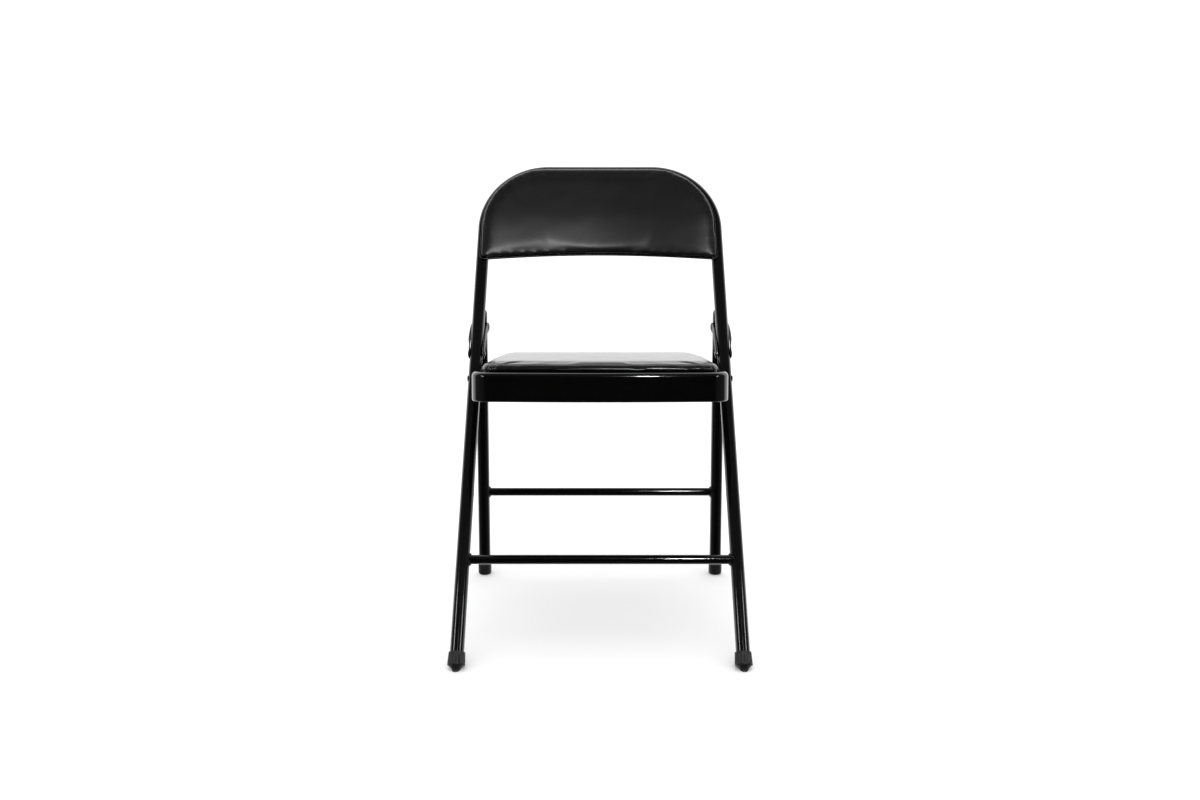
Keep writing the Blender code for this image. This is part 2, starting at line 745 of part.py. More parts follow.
def hinges():
    inner_seat = link_inner_face - link_sheet
    outer_far = link_outer_seat + link_joggle
    leg_out = abs(rear_leg(link_pin[1]).x) + tube_radius
    frame_in = abs(front_leg(frame_pin[1]).x) - tube_radius
    for side, word in ((-1, "left"), (1, "right")):
        link_plate(f"link_plate_inner_{word}", inner_seat, side, False)
        link_plate(f"link_plate_outer_{word}", link_outer_seat, side, True)

        low = inner_seat - touch_gap
        span = link_outer_seat + link_sheet + touch_gap - low
        cross_pin(f"link_front_rivet_{word}", rivet(span, rivet_head, small_head), "front_frame", "black_enamel",
                  frame_pin, low, side)
        washer = sleeve(shank_radius + hole_play, spacer_radius, 0, frame_in - link_inner_face - 2 * touch_gap)
        cross_pin(f"link_front_washer_{word}", washer, "front_frame", "zinc_steel", frame_pin,
                  link_inner_face + touch_gap, side)

        span = outer_far + link_sheet + touch_gap - low
        cross_pin(f"link_rear_rivet_{word}", rivet(span, rivet_head, rivet_head), "hinge_links", "black_enamel",
                  link_pin, low, side)
        washer = sleeve(shank_radius + hole_play, spacer_radius, 0, outer_far - leg_out - 2 * touch_gap)
        cross_pin(f"link_rear_washer_{word}", washer, "hinge_links", "zinc_steel", link_pin, leg_out + touch_gap, side)


def pan_half(y):
    share = (y - pan_front) / (pan_rear - pan_front)
    return pan_half_front + (pan_half_rear - pan_half_front) * share


def seat_pivots():
    tube_in = abs(front_leg(seat_pin[1]).x) - tube_radius
    tube_out = abs(front_leg(seat_pin[1]).x) + tube_radius
    leg_in = abs(rear_leg(rear_pin[1]).x) - tube_radius
    leg_out = abs(rear_leg(rear_pin[1]).x) + tube_radius
    at_seat = pan_half(0.0)
    at_rear = pan_half(math.dist(seat_pin, rear_pin))
    for side, word in ((-1, "left"), (1, "right")):
        low = at_seat - pan_sheet - pan_head_play
        span = tube_out + touch_gap - low
        cross_pin(f"seat_pivot_rivet_{word}", rivet(span, rivet_head, small_head), "front_frame", "black_enamel",
                  seat_pin, low, side)
        start = at_seat + 2 * touch_gap
        ring = sleeve(shank_radius + hole_play, spacer_radius, 0, tube_in - touch_gap - start)
        cross_pin(f"seat_pivot_spacer_{word}", ring, "front_frame", "zinc_steel", seat_pin, start, side)

        low = at_rear - pan_sheet - pan_head_play
        start = at_rear + 2 * touch_gap - low
        end = leg_in - 2 * touch_gap - low
        bush = lathe([(0, -head_height), (0.6 * small_head, -head_height), (small_head, -0.35 * head_height),
                      (small_head, 0), (shank_radius, 0), (shank_radius, start), (spacer_radius, start),
                      (spacer_radius, end), (0, end)])
        cross_pin(f"rear_pivot_bush_{word}", bush, "seat", "zinc_steel", rear_pin, low, side)
        low = leg_in + touch_gap
        span = leg_out + touch_gap - low
        stub = lathe([(0, 0), (shank_radius, 0), (shank_radius, span), (rivet_head, span),
                      (rivet_head, span + 0.35 * head_height), (0.6 * rivet_head, span + head_height),
                      (0, span + head_height)])
        cross_pin(f"rear_pivot_rivet_{word}", stub, "rear_legs", "black_enamel", rear_pin, low, side)


def main():
    clear_scene()
    material("black_enamel", (0.012, 0.012, 0.013), 0.18)
    material("black_vinyl", (0.020, 0.020, 0.021), 0.42)
    material("black_rubber", (0.016, 0.016, 0.016), 0.75)
    material("grey_foam", (0.35, 0.35, 0.34), 0.95)
    material("plywood", (0.50, 0.36, 0.22), 0.80)
    material("zinc_steel", (0.62, 0.62, 0.60), 0.35, 1.0)
    body_origin("front_frame", (0, 0, 0))
    body_origin("seat", world(0, *seat_pin))
    body_origin("hinge_links", world(0, *frame_pin))
    body_origin("rear_legs", world(0, *link_pin))
    front_frame()
    rear_legs()
    feet()
    seat_pan()
    seat_pad()
    back()
    hinges()
    seat_pivots()


main()
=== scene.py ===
import math

import bmesh
import bpy
from mathutils import Matrix, Quaternion, Vector, noise

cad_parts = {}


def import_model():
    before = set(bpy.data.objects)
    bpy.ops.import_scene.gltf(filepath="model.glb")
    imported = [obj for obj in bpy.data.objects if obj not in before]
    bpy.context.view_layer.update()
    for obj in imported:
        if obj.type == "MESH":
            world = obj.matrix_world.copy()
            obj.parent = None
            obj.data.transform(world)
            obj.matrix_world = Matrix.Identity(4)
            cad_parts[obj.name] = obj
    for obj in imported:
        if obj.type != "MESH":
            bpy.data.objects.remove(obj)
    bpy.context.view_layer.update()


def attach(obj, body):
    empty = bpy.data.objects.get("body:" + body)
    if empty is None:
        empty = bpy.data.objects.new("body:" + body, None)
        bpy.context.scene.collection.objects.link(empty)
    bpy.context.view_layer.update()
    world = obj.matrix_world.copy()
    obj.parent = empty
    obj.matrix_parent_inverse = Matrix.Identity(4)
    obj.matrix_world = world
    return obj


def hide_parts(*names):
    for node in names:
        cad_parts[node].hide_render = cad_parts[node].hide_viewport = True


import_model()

# Padded steel folding chair. Metres, depth counted from the front feet's contact line.

tube = {
    "radius": 0.011,
    "footHalf": 0.2207,          # leg axes from the middle, at the floor
    "lowerNarrowing": 0.014,     # lost per metre of height
    "upperNarrowing": 0.0355,
    "lowerRake": math.radians(54.66),
    "upperRake": math.radians(63.6),
    "bendHeight": 0.503,
    "bendSoftness": 0.045,
    "frameHeight": 0.7611,
    "cornerRadius": 0.113,
    "backBow": 0.028,
    "depthCentre": 0.2552,
    "footEnd": 0.0105,           # bare tube starts this far up, inside the rubber foot
    "sides": 40,
}

rearLeg = {
    "footDepth": 0.4237,
    "lean": 0.058,
    "footHalf": 0.2199,
    "narrowing": 0.0127,
    "topHeight": 0.512,
    "footEnd": 0.0045,
}

sides = ((-1, "left"), (1, "right"))

pivots = {                       # (depth, height) of each pin
    "seat": (0.285408, 0.4025),
    "rear": (0.40021, 0.405),
    "frame": (0.312775, 0.441095),
    "link": (0.396034, 0.477),
}

upperHeight = tube["frameHeight"] - tube["radius"] - tube["bendHeight"]
upperLength = upperHeight / math.sin(tube["upperRake"])
bendDepth = tube["bendHeight"] / math.tan(tube["lowerRake"])
upperDirection = Vector((0, math.cos(tube["upperRake"]), math.sin(tube["upperRake"])))
backNormal = Vector((0, -math.sin(tube["upperRake"]), math.cos(tube["upperRake"])))


# where things lie

def world(x, depth, height):
    return Vector((x, depth - tube["depthCentre"], height))


def frontLegAt(height, side=1):
    half = tube["footHalf"] - tube["lowerNarrowing"] * height
    return world(side * half, height / math.tan(tube["lowerRake"]), height)


def rearLegAt(height, side=1):
    half = rearLeg["footHalf"] - rearLeg["narrowing"] * height
    return world(side * half, rearLeg["footDepth"] - rearLeg["lean"] * height, height)


def backHalf(along):
    straight = min(along, upperLength - tube["cornerRadius"])
    half = tube["footHalf"] - tube["lowerNarrowing"] * tube["bendHeight"]
    half -= tube["upperNarrowing"] * straight * math.sin(tube["upperRake"])
    rise = max(along - straight, 0)
    if rise > 0:
        half += math.sqrt(max(tube["cornerRadius"] ** 2 - rise ** 2, 0)) - tube["cornerRadius"]
    return half


def backPlace(x, along, depth=0):
    widest = backHalf(upperLength - tube["cornerRadius"])
    bow = tube["backBow"] * max(0, 1 - (x / widest) ** 2) ** 1.5
    base = world(x, bendDepth, tube["bendHeight"]) + along * upperDirection + depth * backNormal
    return base + Vector((0, bow, 0))


def backAlong(height):
    return (height - tube["bendHeight"]) / math.sin(tube["upperRake"])


def ease(low, high, value):      # 0 to 1 with soft ends
    share = min(max((value - low) / (high - low), 0), 1)
    return share * share * (3 - 2 * share)


# materials

def toLinear(hexColour):
    channels = [int(hexColour[at:at + 2], 16) / 255 for at in (1, 3, 5)]
    return [c / 12.92 if c <= 0.04045 else ((c + 0.055) / 1.055) ** 2.4 for c in channels] + [1.0]


def addNode(tree, kind, settings=None, values=None, feeds=None):
    node = tree.nodes.new("ShaderNode" + kind)
    for key, value in (settings or {}).items():
        setattr(node, key, value)
    for key, value in (values or {}).items():
        node.inputs[key].default_value = value
    for key, source in (feeds or {}).items():
        tree.links.new(source, node.inputs[key])
    return node


def newMaterial(name, roughness, metallic=0.0, ior=None):
    material = bpy.data.materials.new(name)
    material.use_nodes = True
    tree = material.node_tree
    surface = tree.nodes["Principled BSDF"]
    surface.inputs["Roughness"].default_value = roughness
    surface.inputs["Metallic"].default_value = metallic
    if ior:
        surface.inputs["IOR"].default_value = ior
    where = addNode(tree, "TexCoord").outputs["Object"]
    return material, tree, surface, where


def twoTone(tree, surface, amount, dark, light):
    mix = addNode(tree, "Mix", {"data_type": "RGBA"}, {6: toLinear(dark), 7: toLinear(light)},
                  {0: amount})
    tree.links.new(mix.outputs[2], surface.inputs["Base Color"])


def varyRoughness(tree, surface, amount, low, high):
    span = addNode(tree, "MapRange", {}, {"To Min": low, "To Max": high}, {"Value": amount})
    tree.links.new(span.outputs["Result"], surface.inputs["Roughness"])


def stovedEnamel(name, smooth, dull):
    # Black stoving enamel sprayed on steel and baked: deep gloss, a faint orange peel, duller where handled.
    # Orange peel runs 2 to 3 mm from crest to crest and is drawn at that size.
    made = {"peel": 0.0026, "peelDepth": 0.00004, "rub": 0.012, "cloud": 0.05,
            "dark": "#020202", "light": "#060606"}
    material, tree, surface, where = newMaterial(name, (smooth + dull) / 2, ior=1.5)
    cloud = addNode(tree, "TexNoise", {}, {"Scale": 1 / made["cloud"], "Detail": 3}, {"Vector": where})
    twoTone(tree, surface, cloud.outputs["Fac"], made["dark"], made["light"])
    rub = addNode(tree, "TexNoise", {}, {"Scale": 1 / made["rub"], "Detail": 4, "Distortion": 0.4},
                  {"Vector": where})
    varyRoughness(tree, surface, rub.outputs["Fac"], smooth, dull)
    peel = addNode(tree, "TexNoise", {}, {"Scale": 1 / made["peel"], "Detail": 1.5}, {"Vector": where})
    bump = addNode(tree, "Bump", {}, {"Strength": 0.10, "Distance": made["peelDepth"]},
                   {"Height": peel.outputs["Fac"]})
    tree.links.new(bump.outputs["Normal"], surface.inputs["Normal"])
    return material


def leathercloth(name, wrinkle, smooth, dull):
    # PVC leathercloth, calendered and embossed with a fine pebble: satin black, pale at a low angle.
    # Real pebbles are about 0.8 mm and their grain 0.2 mm: both are drawn coarser so that they show.
    made = {"pebble": 0.0016, "pebbleDepth": 0.00012, "fine": 0.0006, "fineDepth": 0.00005,
            "slack": 0.03, "slackDepth": 0.0016, "dark": "#050506", "light": "#0a0a0b"}
    material, tree, surface, where = newMaterial(name, (smooth + dull) / 2, ior=1.5)
    pebble = addNode(tree, "TexVoronoi", {"feature": "SMOOTH_F1"},
                     {"Scale": 1 / made["pebble"], "Smoothness": 0.6}, {"Vector": where})
    fine = addNode(tree, "TexNoise", {}, {"Scale": 1 / made["fine"], "Detail": 2}, {"Vector": where})
    soft = addNode(tree, "TexNoise", {}, {"Scale": 1 / made["slack"], "Detail": 4, "Distortion": 0.6},
                   {"Vector": where})
    twoTone(tree, surface, soft.outputs["Fac"], made["dark"], made["light"])
    varyRoughness(tree, surface, soft.outputs["Fac"], smooth, dull)
    waves = addNode(tree, "Bump", {}, {"Strength": wrinkle, "Distance": made["slackDepth"]},
                    {"Height": soft.outputs["Fac"]})
    pebbles = addNode(tree, "Bump", {"invert": True}, {"Strength": 0.25, "Distance": made["pebbleDepth"]},
                      {"Height": pebble.outputs["Distance"], "Normal": waves.outputs["Normal"]})
    grain = addNode(tree, "Bump", {}, {"Strength": 0.25, "Distance": made["fineDepth"]},
                    {"Height": fine.outputs["Fac"], "Normal": pebbles.outputs["Normal"]})
    tree.links.new(grain.outputs["Normal"], surface.inputs["Normal"])
    return material


def mouldedRubber():
    # Natural rubber, compression moulded: matt charcoal with a dusty bloom and a spark-eroded skin.
    # A spark-eroded skin is finer than 0.2 mm and is drawn coarser so that it shows.
    made = {"skin": 0.0007, "skinDepth": 0.00008, "bloom": 0.009, "dark": "#0a0a0a", "light": "#161616"}
    material, tree, surface, where = newMaterial("mouldedRubberBlack", 0.5, ior=1.52)
    bloom = addNode(tree, "TexNoise", {}, {"Scale": 1 / made["bloom"], "Detail": 5}, {"Vector": where})
    twoTone(tree, surface, bloom.outputs["Fac"], made["dark"], made["light"])
    varyRoughness(tree, surface, bloom.outputs["Fac"], 0.42, 0.6)
    skin = addNode(tree, "TexNoise", {}, {"Scale": 1 / made["skin"], "Detail": 3}, {"Vector": where})
    bump = addNode(tree, "Bump", {}, {"Strength": 0.5, "Distance": made["skinDepth"]},
                   {"Height": skin.outputs["Fac"]})
    tree.links.new(bump.outputs["Normal"], surface.inputs["Normal"])
    return material


def zincPlate():
    # Steel, barrel plated with bright zinc: cool silver with cloudy patches and tiny tumbling marks.
    # Tumbling marks are about 0.3 mm and are drawn coarser so that they show.
    made = {"cloud": 0.004, "marks": 0.0009, "markDepth": 0.00005, "dark": "#9c9b95", "light": "#c6c5bf"}
    material, tree, surface, where = newMaterial("zincPlatedSteelBarrel", 0.3, metallic=1.0)
    cloud = addNode(tree, "TexNoise", {}, {"Scale": 1 / made["cloud"], "Detail": 4}, {"Vector": where})
    twoTone(tree, surface, cloud.outputs["Fac"], made["dark"], made["light"])
    varyRoughness(tree, surface, cloud.outputs["Fac"], 0.24, 0.42)
    marks = addNode(tree, "TexNoise", {}, {"Scale": 1 / made["marks"], "Detail": 2}, {"Vector": where})
    bump = addNode(tree, "Bump", {}, {"Strength": 0.3, "Distance": made["markDepth"]},
                   {"Height": marks.outputs["Fac"]})
    tree.links.new(bump.outputs["Normal"], surface.inputs["Normal"])
    return material


enamel = stovedEnamel("stovedEnamelBlackGloss", 0.06, 0.11)
dullEnamel = stovedEnamel("stovedEnamelBlackRubbed", 0.42, 0.58)   # on the links, scuffed where they slide
seatVinyl = leathercloth("leatherclothSeatBlack", 0.03, 0.20, 0.27)
backVinyl = leathercloth("leatherclothBackBlack", 0.05, 0.34, 0.40)
rubber = mouldedRubber()
zinc = zincPlate()
print("materials made")


# mesh building

def addPiece(name, form, material, body, nodes=(), sharp=40, place=None):
    bmesh.ops.recalc_face_normals(form, faces=form.faces)
    mesh = bpy.data.meshes.new(name)
    form.to_mesh(mesh)
    form.free()
    mesh.polygons.foreach_set("use_smooth", [True] * len(mesh.polygons))
    mesh.set_sharp_from_angle(angle=math.radians(sharp))
    mesh.materials.append(material)
    piece = bpy.data.objects.new(name, mesh)
    bpy.context.scene.collection.objects.link(piece)
    if place:
        piece.matrix_world = place
    bpy.context.view_layer.update()
    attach(piece, body)
    if nodes:
        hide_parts(*nodes)
    return piece


def softEdge(piece, width):
    bevel = piece.modifiers.new("softEdge", "BEVEL")
    bevel.width = width
    bevel.segments = 2
    bevel.limit_method = "ANGLE"
    bevel.angle_limit = math.radians(35)


def skinRings(rings, loop=False):     # a loop of rings closes on itself, else both ends are capped
    form = bmesh.new()
    made = [[form.verts.new(point) for point in ring] for ring in rings]
    pairs = list(zip(made, made[1:])) + ([(made[-1], made[0])] if loop else [])
    count = len(made[0])
    for ring, following in pairs:
        for at in range(count):
            after = (at + 1) % count
            form.faces.new((ring[at], ring[after], following[after], following[at]))
    if not loop:
        form.faces.new(made[0])
        form.faces.new(made[-1])
    return form


def sweepRings(path, radii, facets, loop=False):
    points = [Vector(point) for point in path]
    if not hasattr(radii, "__len__"):
        radii = [radii] * len(points)
    last = len(points) - 1
    heading = (points[1] - points[0]).normalized()
    across = heading.orthogonal().normalized()
    rings = []
    for at, point in enumerate(points):
        before = points[at - 1] if at or loop else points[0]
        ahead = (points[(at + 1) % (last + 1)] if loop or at < last else points[last]) - before
        ahead.normalize()
        across = heading.rotation_difference(ahead) @ across
        heading = ahead
        side = heading.cross(across)
        turns = [2 * math.pi * step / facets for step in range(facets)]
        rings.append([point + radii[at] * (math.cos(a) * across + math.sin(a) * side) for a in turns])
    return rings


def turnedForm(outline, steps=32):
    # outline of (radius, height), both ends on the axis
    form = bmesh.new()
    verts = [form.verts.new((radius, 0, height)) for radius, height in outline]
    edges = [form.edges.new(pair) for pair in zip(verts, verts[1:])]
    bmesh.ops.spin(form, geom=verts + edges, cent=(0, 0, 0), axis=(0, 0, 1), angle=2 * math.pi, steps=steps,
                   use_merge=True)
    bmesh.ops.remove_doubles(form, verts=form.verts, dist=1e-6)
    return form


def sheetForm(layers):
    # a closed sheet from two layers of points, each laid out in rows, with its edge filled all round
    form = bmesh.new()
    made = [[[form.verts.new(point) for point in line] for line in grid] for grid in layers]
    last, width = len(layers[0]) - 1, len(layers[0][0]) - 1
    for grid in made:
        for row in range(last):
            for at in range(width):
                form.faces.new((grid[row][at], grid[row][at + 1], grid[row + 1][at + 1], grid[row + 1][at]))
    border = [(0, at) for at in range(width + 1)] + [(row, width) for row in range(1, last + 1)]
    border += [(last, at) for at in range(width - 1, -1, -1)] + [(row, 0) for row in range(last - 1, 0, -1)]
    for (row, at), (nextRow, nextAt) in zip(border, border[1:] + border[:1]):
        form.faces.new((made[0][row][at], made[0][nextRow][nextAt],
                        made[1][nextRow][nextAt], made[1][row][at]))
    return form


def aim(start, towards):         # local Z from start to towards
    turn = Vector((0, 0, 1)).rotation_difference((Vector(towards) - Vector(start)).normalized())
    return Matrix.Translation(start) @ turn.to_matrix().to_4x4()


def arc(centreX, centreY, radius, first, last, steps):
    turns = [first + (last - first) * step / steps for step in range(steps + 1)]
    return [(centreX + radius * math.cos(a), centreY + radius * math.sin(a)) for a in turns]


# front frame

def frontTubePath():
    half = [frontLegAt(tube["footEnd"] * math.sin(tube["lowerRake"]))]
    half += [frontLegAt(height) for height in (0.12, 0.24, 0.36)]
    bend, reach = frontLegAt(tube["bendHeight"]), tube["bendSoftness"]
    before = frontLegAt(tube["bendHeight"] - reach * math.sin(tube["lowerRake"]))
    after = backPlace(backHalf(reach), reach)
    for step in range(13):
        t = step / 12
        half.append((1 - t) ** 2 * before + 2 * t * (1 - t) * bend + t ** 2 * after)
    straight = upperLength - tube["cornerRadius"]
    half += [backPlace(backHalf(straight * share), straight * share) for share in (0.5, 0.75, 1)]
    cornerX = backHalf(straight) - tube["cornerRadius"]
    for step in range(1, 25):
        turn = math.pi / 2 * step / 24
        half.append(backPlace(cornerX + tube["cornerRadius"] * math.cos(turn),
                              straight + tube["cornerRadius"] * math.sin(turn)))
    half += [backPlace(cornerX * (1 - step / 10), upperLength) for step in range(1, 10)]
    other = [Vector((-point.x, point.y, point.z)) for point in reversed(half)]
    return half + [backPlace(0, upperLength)] + other


frontPath = frontTubePath()
addPiece("frontTube", skinRings(sweepRings(frontPath, tube["radius"], tube["sides"])), enamel,
         "front_frame", ["front_frame_tube"])

crossbar = {"radius": 0.0075, "frontHeight": 0.142, "rearHeight": 0.164, "sides": 28,
            "endInset": 0.004,          # ends stop this far short of the legs' axes
            "beadRadius": 0.0021, "beadSteps": 96, "ripple": 0.0004, "ripples": 18}


def addCrossbar(name, height, legAt, body, node):
    middle = legAt(height)
    up = (legAt(height + 0.01) - legAt(height - 0.01)).normalized()
    reach = middle.x - crossbar["endInset"]
    path = [Vector((reach * share, middle.y, middle.z)) for share in (-1, -0.5, 0, 0.5, 1)]
    addPiece(name, skinRings(sweepRings(path, crossbar["radius"], crossbar["sides"])), enamel, body,
             [node])
    for side, word in sides:
        # weld bead laid round the joint, following the saddle between the two tubes
        bead, radii = [], []
        sideways = Vector((side, 0, 0)).cross(up).normalized()
        for step in range(crossbar["beadSteps"]):
            turn = 2 * math.pi * step / crossbar["beadSteps"]
            offset = (crossbar["radius"] + 0.0003) * Vector((0, math.cos(turn), math.sin(turn)))
            apart = offset.dot(sideways)
            lift = math.sqrt(tube["radius"] ** 2 - apart ** 2)
            centre = legAt(middle.z + offset.z, side)
            bead.append(Vector((centre.x - side * lift, middle.y + offset.y, middle.z + offset.z)))
            wave = math.sin(turn * crossbar["ripples"] + 1.7 * math.sin(2 * turn))
            radii.append(crossbar["beadRadius"] + crossbar["ripple"] * wave)
        addPiece(f"{name}Weld{word.title()}", skinRings(sweepRings(bead, radii, 12, loop=True), loop=True),
                 enamel, body, sharp=80)


addCrossbar("frontCrossbar", crossbar["frontHeight"], frontLegAt, "front_frame", "front_crossbar")
addCrossbar("rearCrossbar", crossbar["rearHeight"], rearLegAt, "rear_legs", "rear_crossbar")
print("front frame made")


# rear legs

for side, word in sides:
    foot, top = rearLegAt(rearLeg["footEnd"], side), rearLegAt(rearLeg["topHeight"], side)
    length, radius = (top - foot).length, tube["radius"]
    outline = [(0, 0), (radius, 0)] + [(radius, length * share) for share in (0.25, 0.5, 0.75)]
    outline += [(max(x, 0), y) for x, y in arc(0, length - radius, radius, 0, math.pi / 2, 12)]
    addPiece(f"rearLeg{word.title()}", turnedForm(outline, tube["sides"]), enamel, "rear_legs",
             [f"rear_leg_{word}"], place=aim(foot, top))

# feet

frontFoot = {"top": 0.0275, "floor": 0.0062, "mouth": 0.0130, "foot": 0.0138, "ribs": 14, "rib": 0.0015}
rearFoot = {"top": 0.021, "radius": 0.0124, "ribs": 8, "rib": 0.0}    # plain: its grooves have no depth


def ribbedCup(outline, ribs, depth, low, high):
    # a moulded cup with upright grooves between two heights, cut level where it stands
    steps = ribs * 6
    rings = []
    for radius, height in outline:
        fade = ease(low, low + 0.002, height) * (1 - ease(high - 0.002, high, height))
        ring = []
        for step in range(steps):
            turn = 2 * math.pi * step / steps
            groove = depth * fade * (0.5 - 0.5 * math.cos(turn * ribs)) ** 3 if radius > 0.006 else 0
            r = max(radius - groove, 0.0001)
            ring.append(Vector((r * math.cos(turn), r * math.sin(turn), height)))
        rings.append(ring)
    return skinRings(rings)


def addFoot(name, node, body, form, foot, top):
    turn = aim((0, 0, 0), top - foot)
    form.transform(turn)
    cut = bmesh.ops.bisect_plane(form, geom=form.verts[:] + form.edges[:] + form.faces[:], dist=1e-7,
                                 plane_co=(0, 0, -foot.z + 0.0001), plane_no=(0, 0, -1), clear_outer=True)
    rim = [edge for edge in cut["geom_cut"] if isinstance(edge, bmesh.types.BMEdge)]
    bmesh.ops.edgeloop_fill(form, edges=rim)
    return addPiece(name, form, rubber, body, [node], place=Matrix.Translation(foot))


for side, word in sides:
    low, high = frontFoot["floor"], frontFoot["top"]
    big, mouth = frontFoot["foot"], frontFoot["mouth"]
    outline = [(0.0061, -0.006), (0.0064, 0.0), (0.0074, low - 0.0045), (0.0085, low - 0.0028),
               (big - 0.0022, low - 0.0004), (big - 0.0008, low + 0.0001), (big - 0.0002, low + 0.0007),
               (big, low + 0.0016), (big, low + 0.003)]
    outline += [(big + (mouth - big) * share, low + (high - low) * (0.12 + 0.76 * share))
                for share in (0.1, 0.3, 0.5, 0.7, 0.9, 1.0)]
    outline += [(mouth, high - 0.0016), (mouth - 0.0003, high - 0.0005), (mouth - 0.0011, high),
                (tube["radius"] + 0.0001, high - 0.0003), (tube["radius"] + 0.0001, high - 0.004)]
    form = ribbedCup(outline, frontFoot["ribs"], frontFoot["rib"], low + 0.002, high - 0.003)
    addFoot(f"frontFoot{word.title()}", f"front_foot_{word}", "front_frame", form,
            frontLegAt(0, side), frontLegAt(0.05, side))

    big, high = rearFoot["radius"], rearFoot["top"]
    outline = [(big - 0.0035, -0.002), (big - 0.0031, 0.0002)]
    outline += [(big - 0.003 + 0.003 * math.sin(a), 0.0034 - 0.0031 * math.cos(a))
                for a in [math.pi / 2 * step / 6 for step in range(7)]]
    outline += [(big, 0.008), (big, high - 0.003), (big - 0.0001, high - 0.001),
                (big - 0.0005, high - 0.0003), (big - 0.001, high), (tube["radius"] + 0.0001, high - 0.0002),
                (tube["radius"] + 0.0001, high - 0.003)]
    form = ribbedCup(outline, rearFoot["ribs"], rearFoot["rib"], 0, high)
    addFoot(f"rearFoot{word.title()}", f"rear_foot_{word}", "rear_legs", form,
            rearLegAt(0, side), rearLegAt(0.05, side))
print("legs and feet made")


# seat pan

pan = {
    "tilt": math.radians(5.8),
    "top": 0.0255, "front": -0.2191, "rear": 0.1629,
    "halfFront": 0.1975, "halfRear": 0.194,
    "skirt": 0.0448, "shoulder": 0.007, "sheet": 0.0008, "lip": 0.009,
    "cornerFront": 0.028, "cornerRear": 0.045, "frontBow": 0.011, "bowReach": 0.06,
}
seatTurn = Quaternion((1, 0, 0), -pan["tilt"])
seatFrame = Matrix.Translation(world(0, *pivots["seat"])) @ seatTurn.to_matrix().to_4x4()


def panHalf(y):
    share = (y - pan["front"]) / (pan["rear"] - pan["front"])
    return pan["halfFront"] + (pan["halfRear"] - pan["halfFront"]) * share


def roundedPlan(inset, frontRadius, rearRadius, cornerSteps=14, sideSteps=10):
    front, rear = pan["front"] + inset, pan["rear"] - inset
    rFront, rRear = max(frontRadius - inset, 0.004), max(rearRadius - inset, 0.004)
    points = []

    def corner(x, y, radius, start):
        points.extend(arc(x, y, radius, start, start + math.pi / 2, cornerSteps))

    def straight(a, b):
        for step in range(1, sideSteps):
            share = step / sideSteps
            points.append((a[0] + (b[0] - a[0]) * share, a[1] + (b[1] - a[1]) * share))

    frontHalf, rearHalf = panHalf(front + rFront) - inset, panHalf(rear - rRear) - inset
    corner(-(frontHalf - rFront), front + rFront, rFront, math.pi)
    straight((-(frontHalf - rFront), front), (frontHalf - rFront, front))
    corner(frontHalf - rFront, front + rFront, rFront, 1.5 * math.pi)
    straight((frontHalf, front + rFront), (rearHalf, rear - rRear))
    corner(rearHalf - rRear, rear - rRear, rRear, 0)
    straight((rearHalf - rRear, rear), (-(rearHalf - rRear), rear))
    corner(-(rearHalf - rRear), rear - rRear, rRear, 0.5 * math.pi)
    straight((-rearHalf, rear - rRear), (-frontHalf, front + rFront))
    bowed = []
    for x, y in points:
        near = max(0.0, 1 - (y - front) / pan["bowReach"])
        bowed.append((x, y - pan["frontBow"] * near * (1 - (x / frontHalf) ** 2)))
    return bowed


def panRing(inset, height):
    return [(x, y, height) for x, y in roundedPlan(inset, pan["cornerFront"], pan["cornerRear"])]


def panShoulder(radius, inset, height, steps=8):
    turns = [math.pi / 2 * step / steps for step in range(steps + 1)]
    return [panRing(inset + radius * (1 - math.sin(a)), height - radius * (1 - math.cos(a))) for a in turns]


def seatPanForm():
    bottom, sheet = pan["top"] - pan["skirt"], pan["sheet"]
    rings = [panRing(0.10, pan["top"]), panRing(0.03, pan["top"])]
    rings += panShoulder(pan["shoulder"], 0.0, pan["top"])
    rings += [panRing(0.0, pan["top"] - 0.016), panRing(0.0, bottom + 0.010), panRing(0.0, bottom + 0.003)]
    for inset, lift in ((0.0, 0.0022), (0.0003, 0.0011), (0.0010, 0.0003), (0.0022, 0.0)):
        rings.append(panRing(inset, bottom + lift))
    rings += [panRing(pan["lip"], bottom), panRing(pan["lip"], bottom + sheet)]
    rings += [panRing(0.0022 + sheet / 2, bottom + sheet), panRing(sheet, bottom + 0.0022 + sheet)]
    rings += [panRing(sheet, bottom + 0.012)]
    rings += reversed(panShoulder(pan["shoulder"] - sheet, sheet, pan["top"] - sheet))
    rings += [panRing(0.03, pan["top"] - sheet), panRing(0.10, pan["top"] - sheet)]
    return skinRings(rings)


addPiece("seatPan", seatPanForm(), enamel, "seat", ["seat_pan"], sharp=50, place=seatFrame)
print("seat pan made")


# soft pads

def meshOf(piece):
    depsgraph = bpy.context.evaluated_depsgraph_get()
    return bpy.data.meshes.new_from_object(piece.evaluated_get(depsgraph))


def bake(piece):                 # keeps what the modifiers make and drops them
    mesh = meshOf(piece)
    piece.modifiers.clear()
    piece.data = mesh


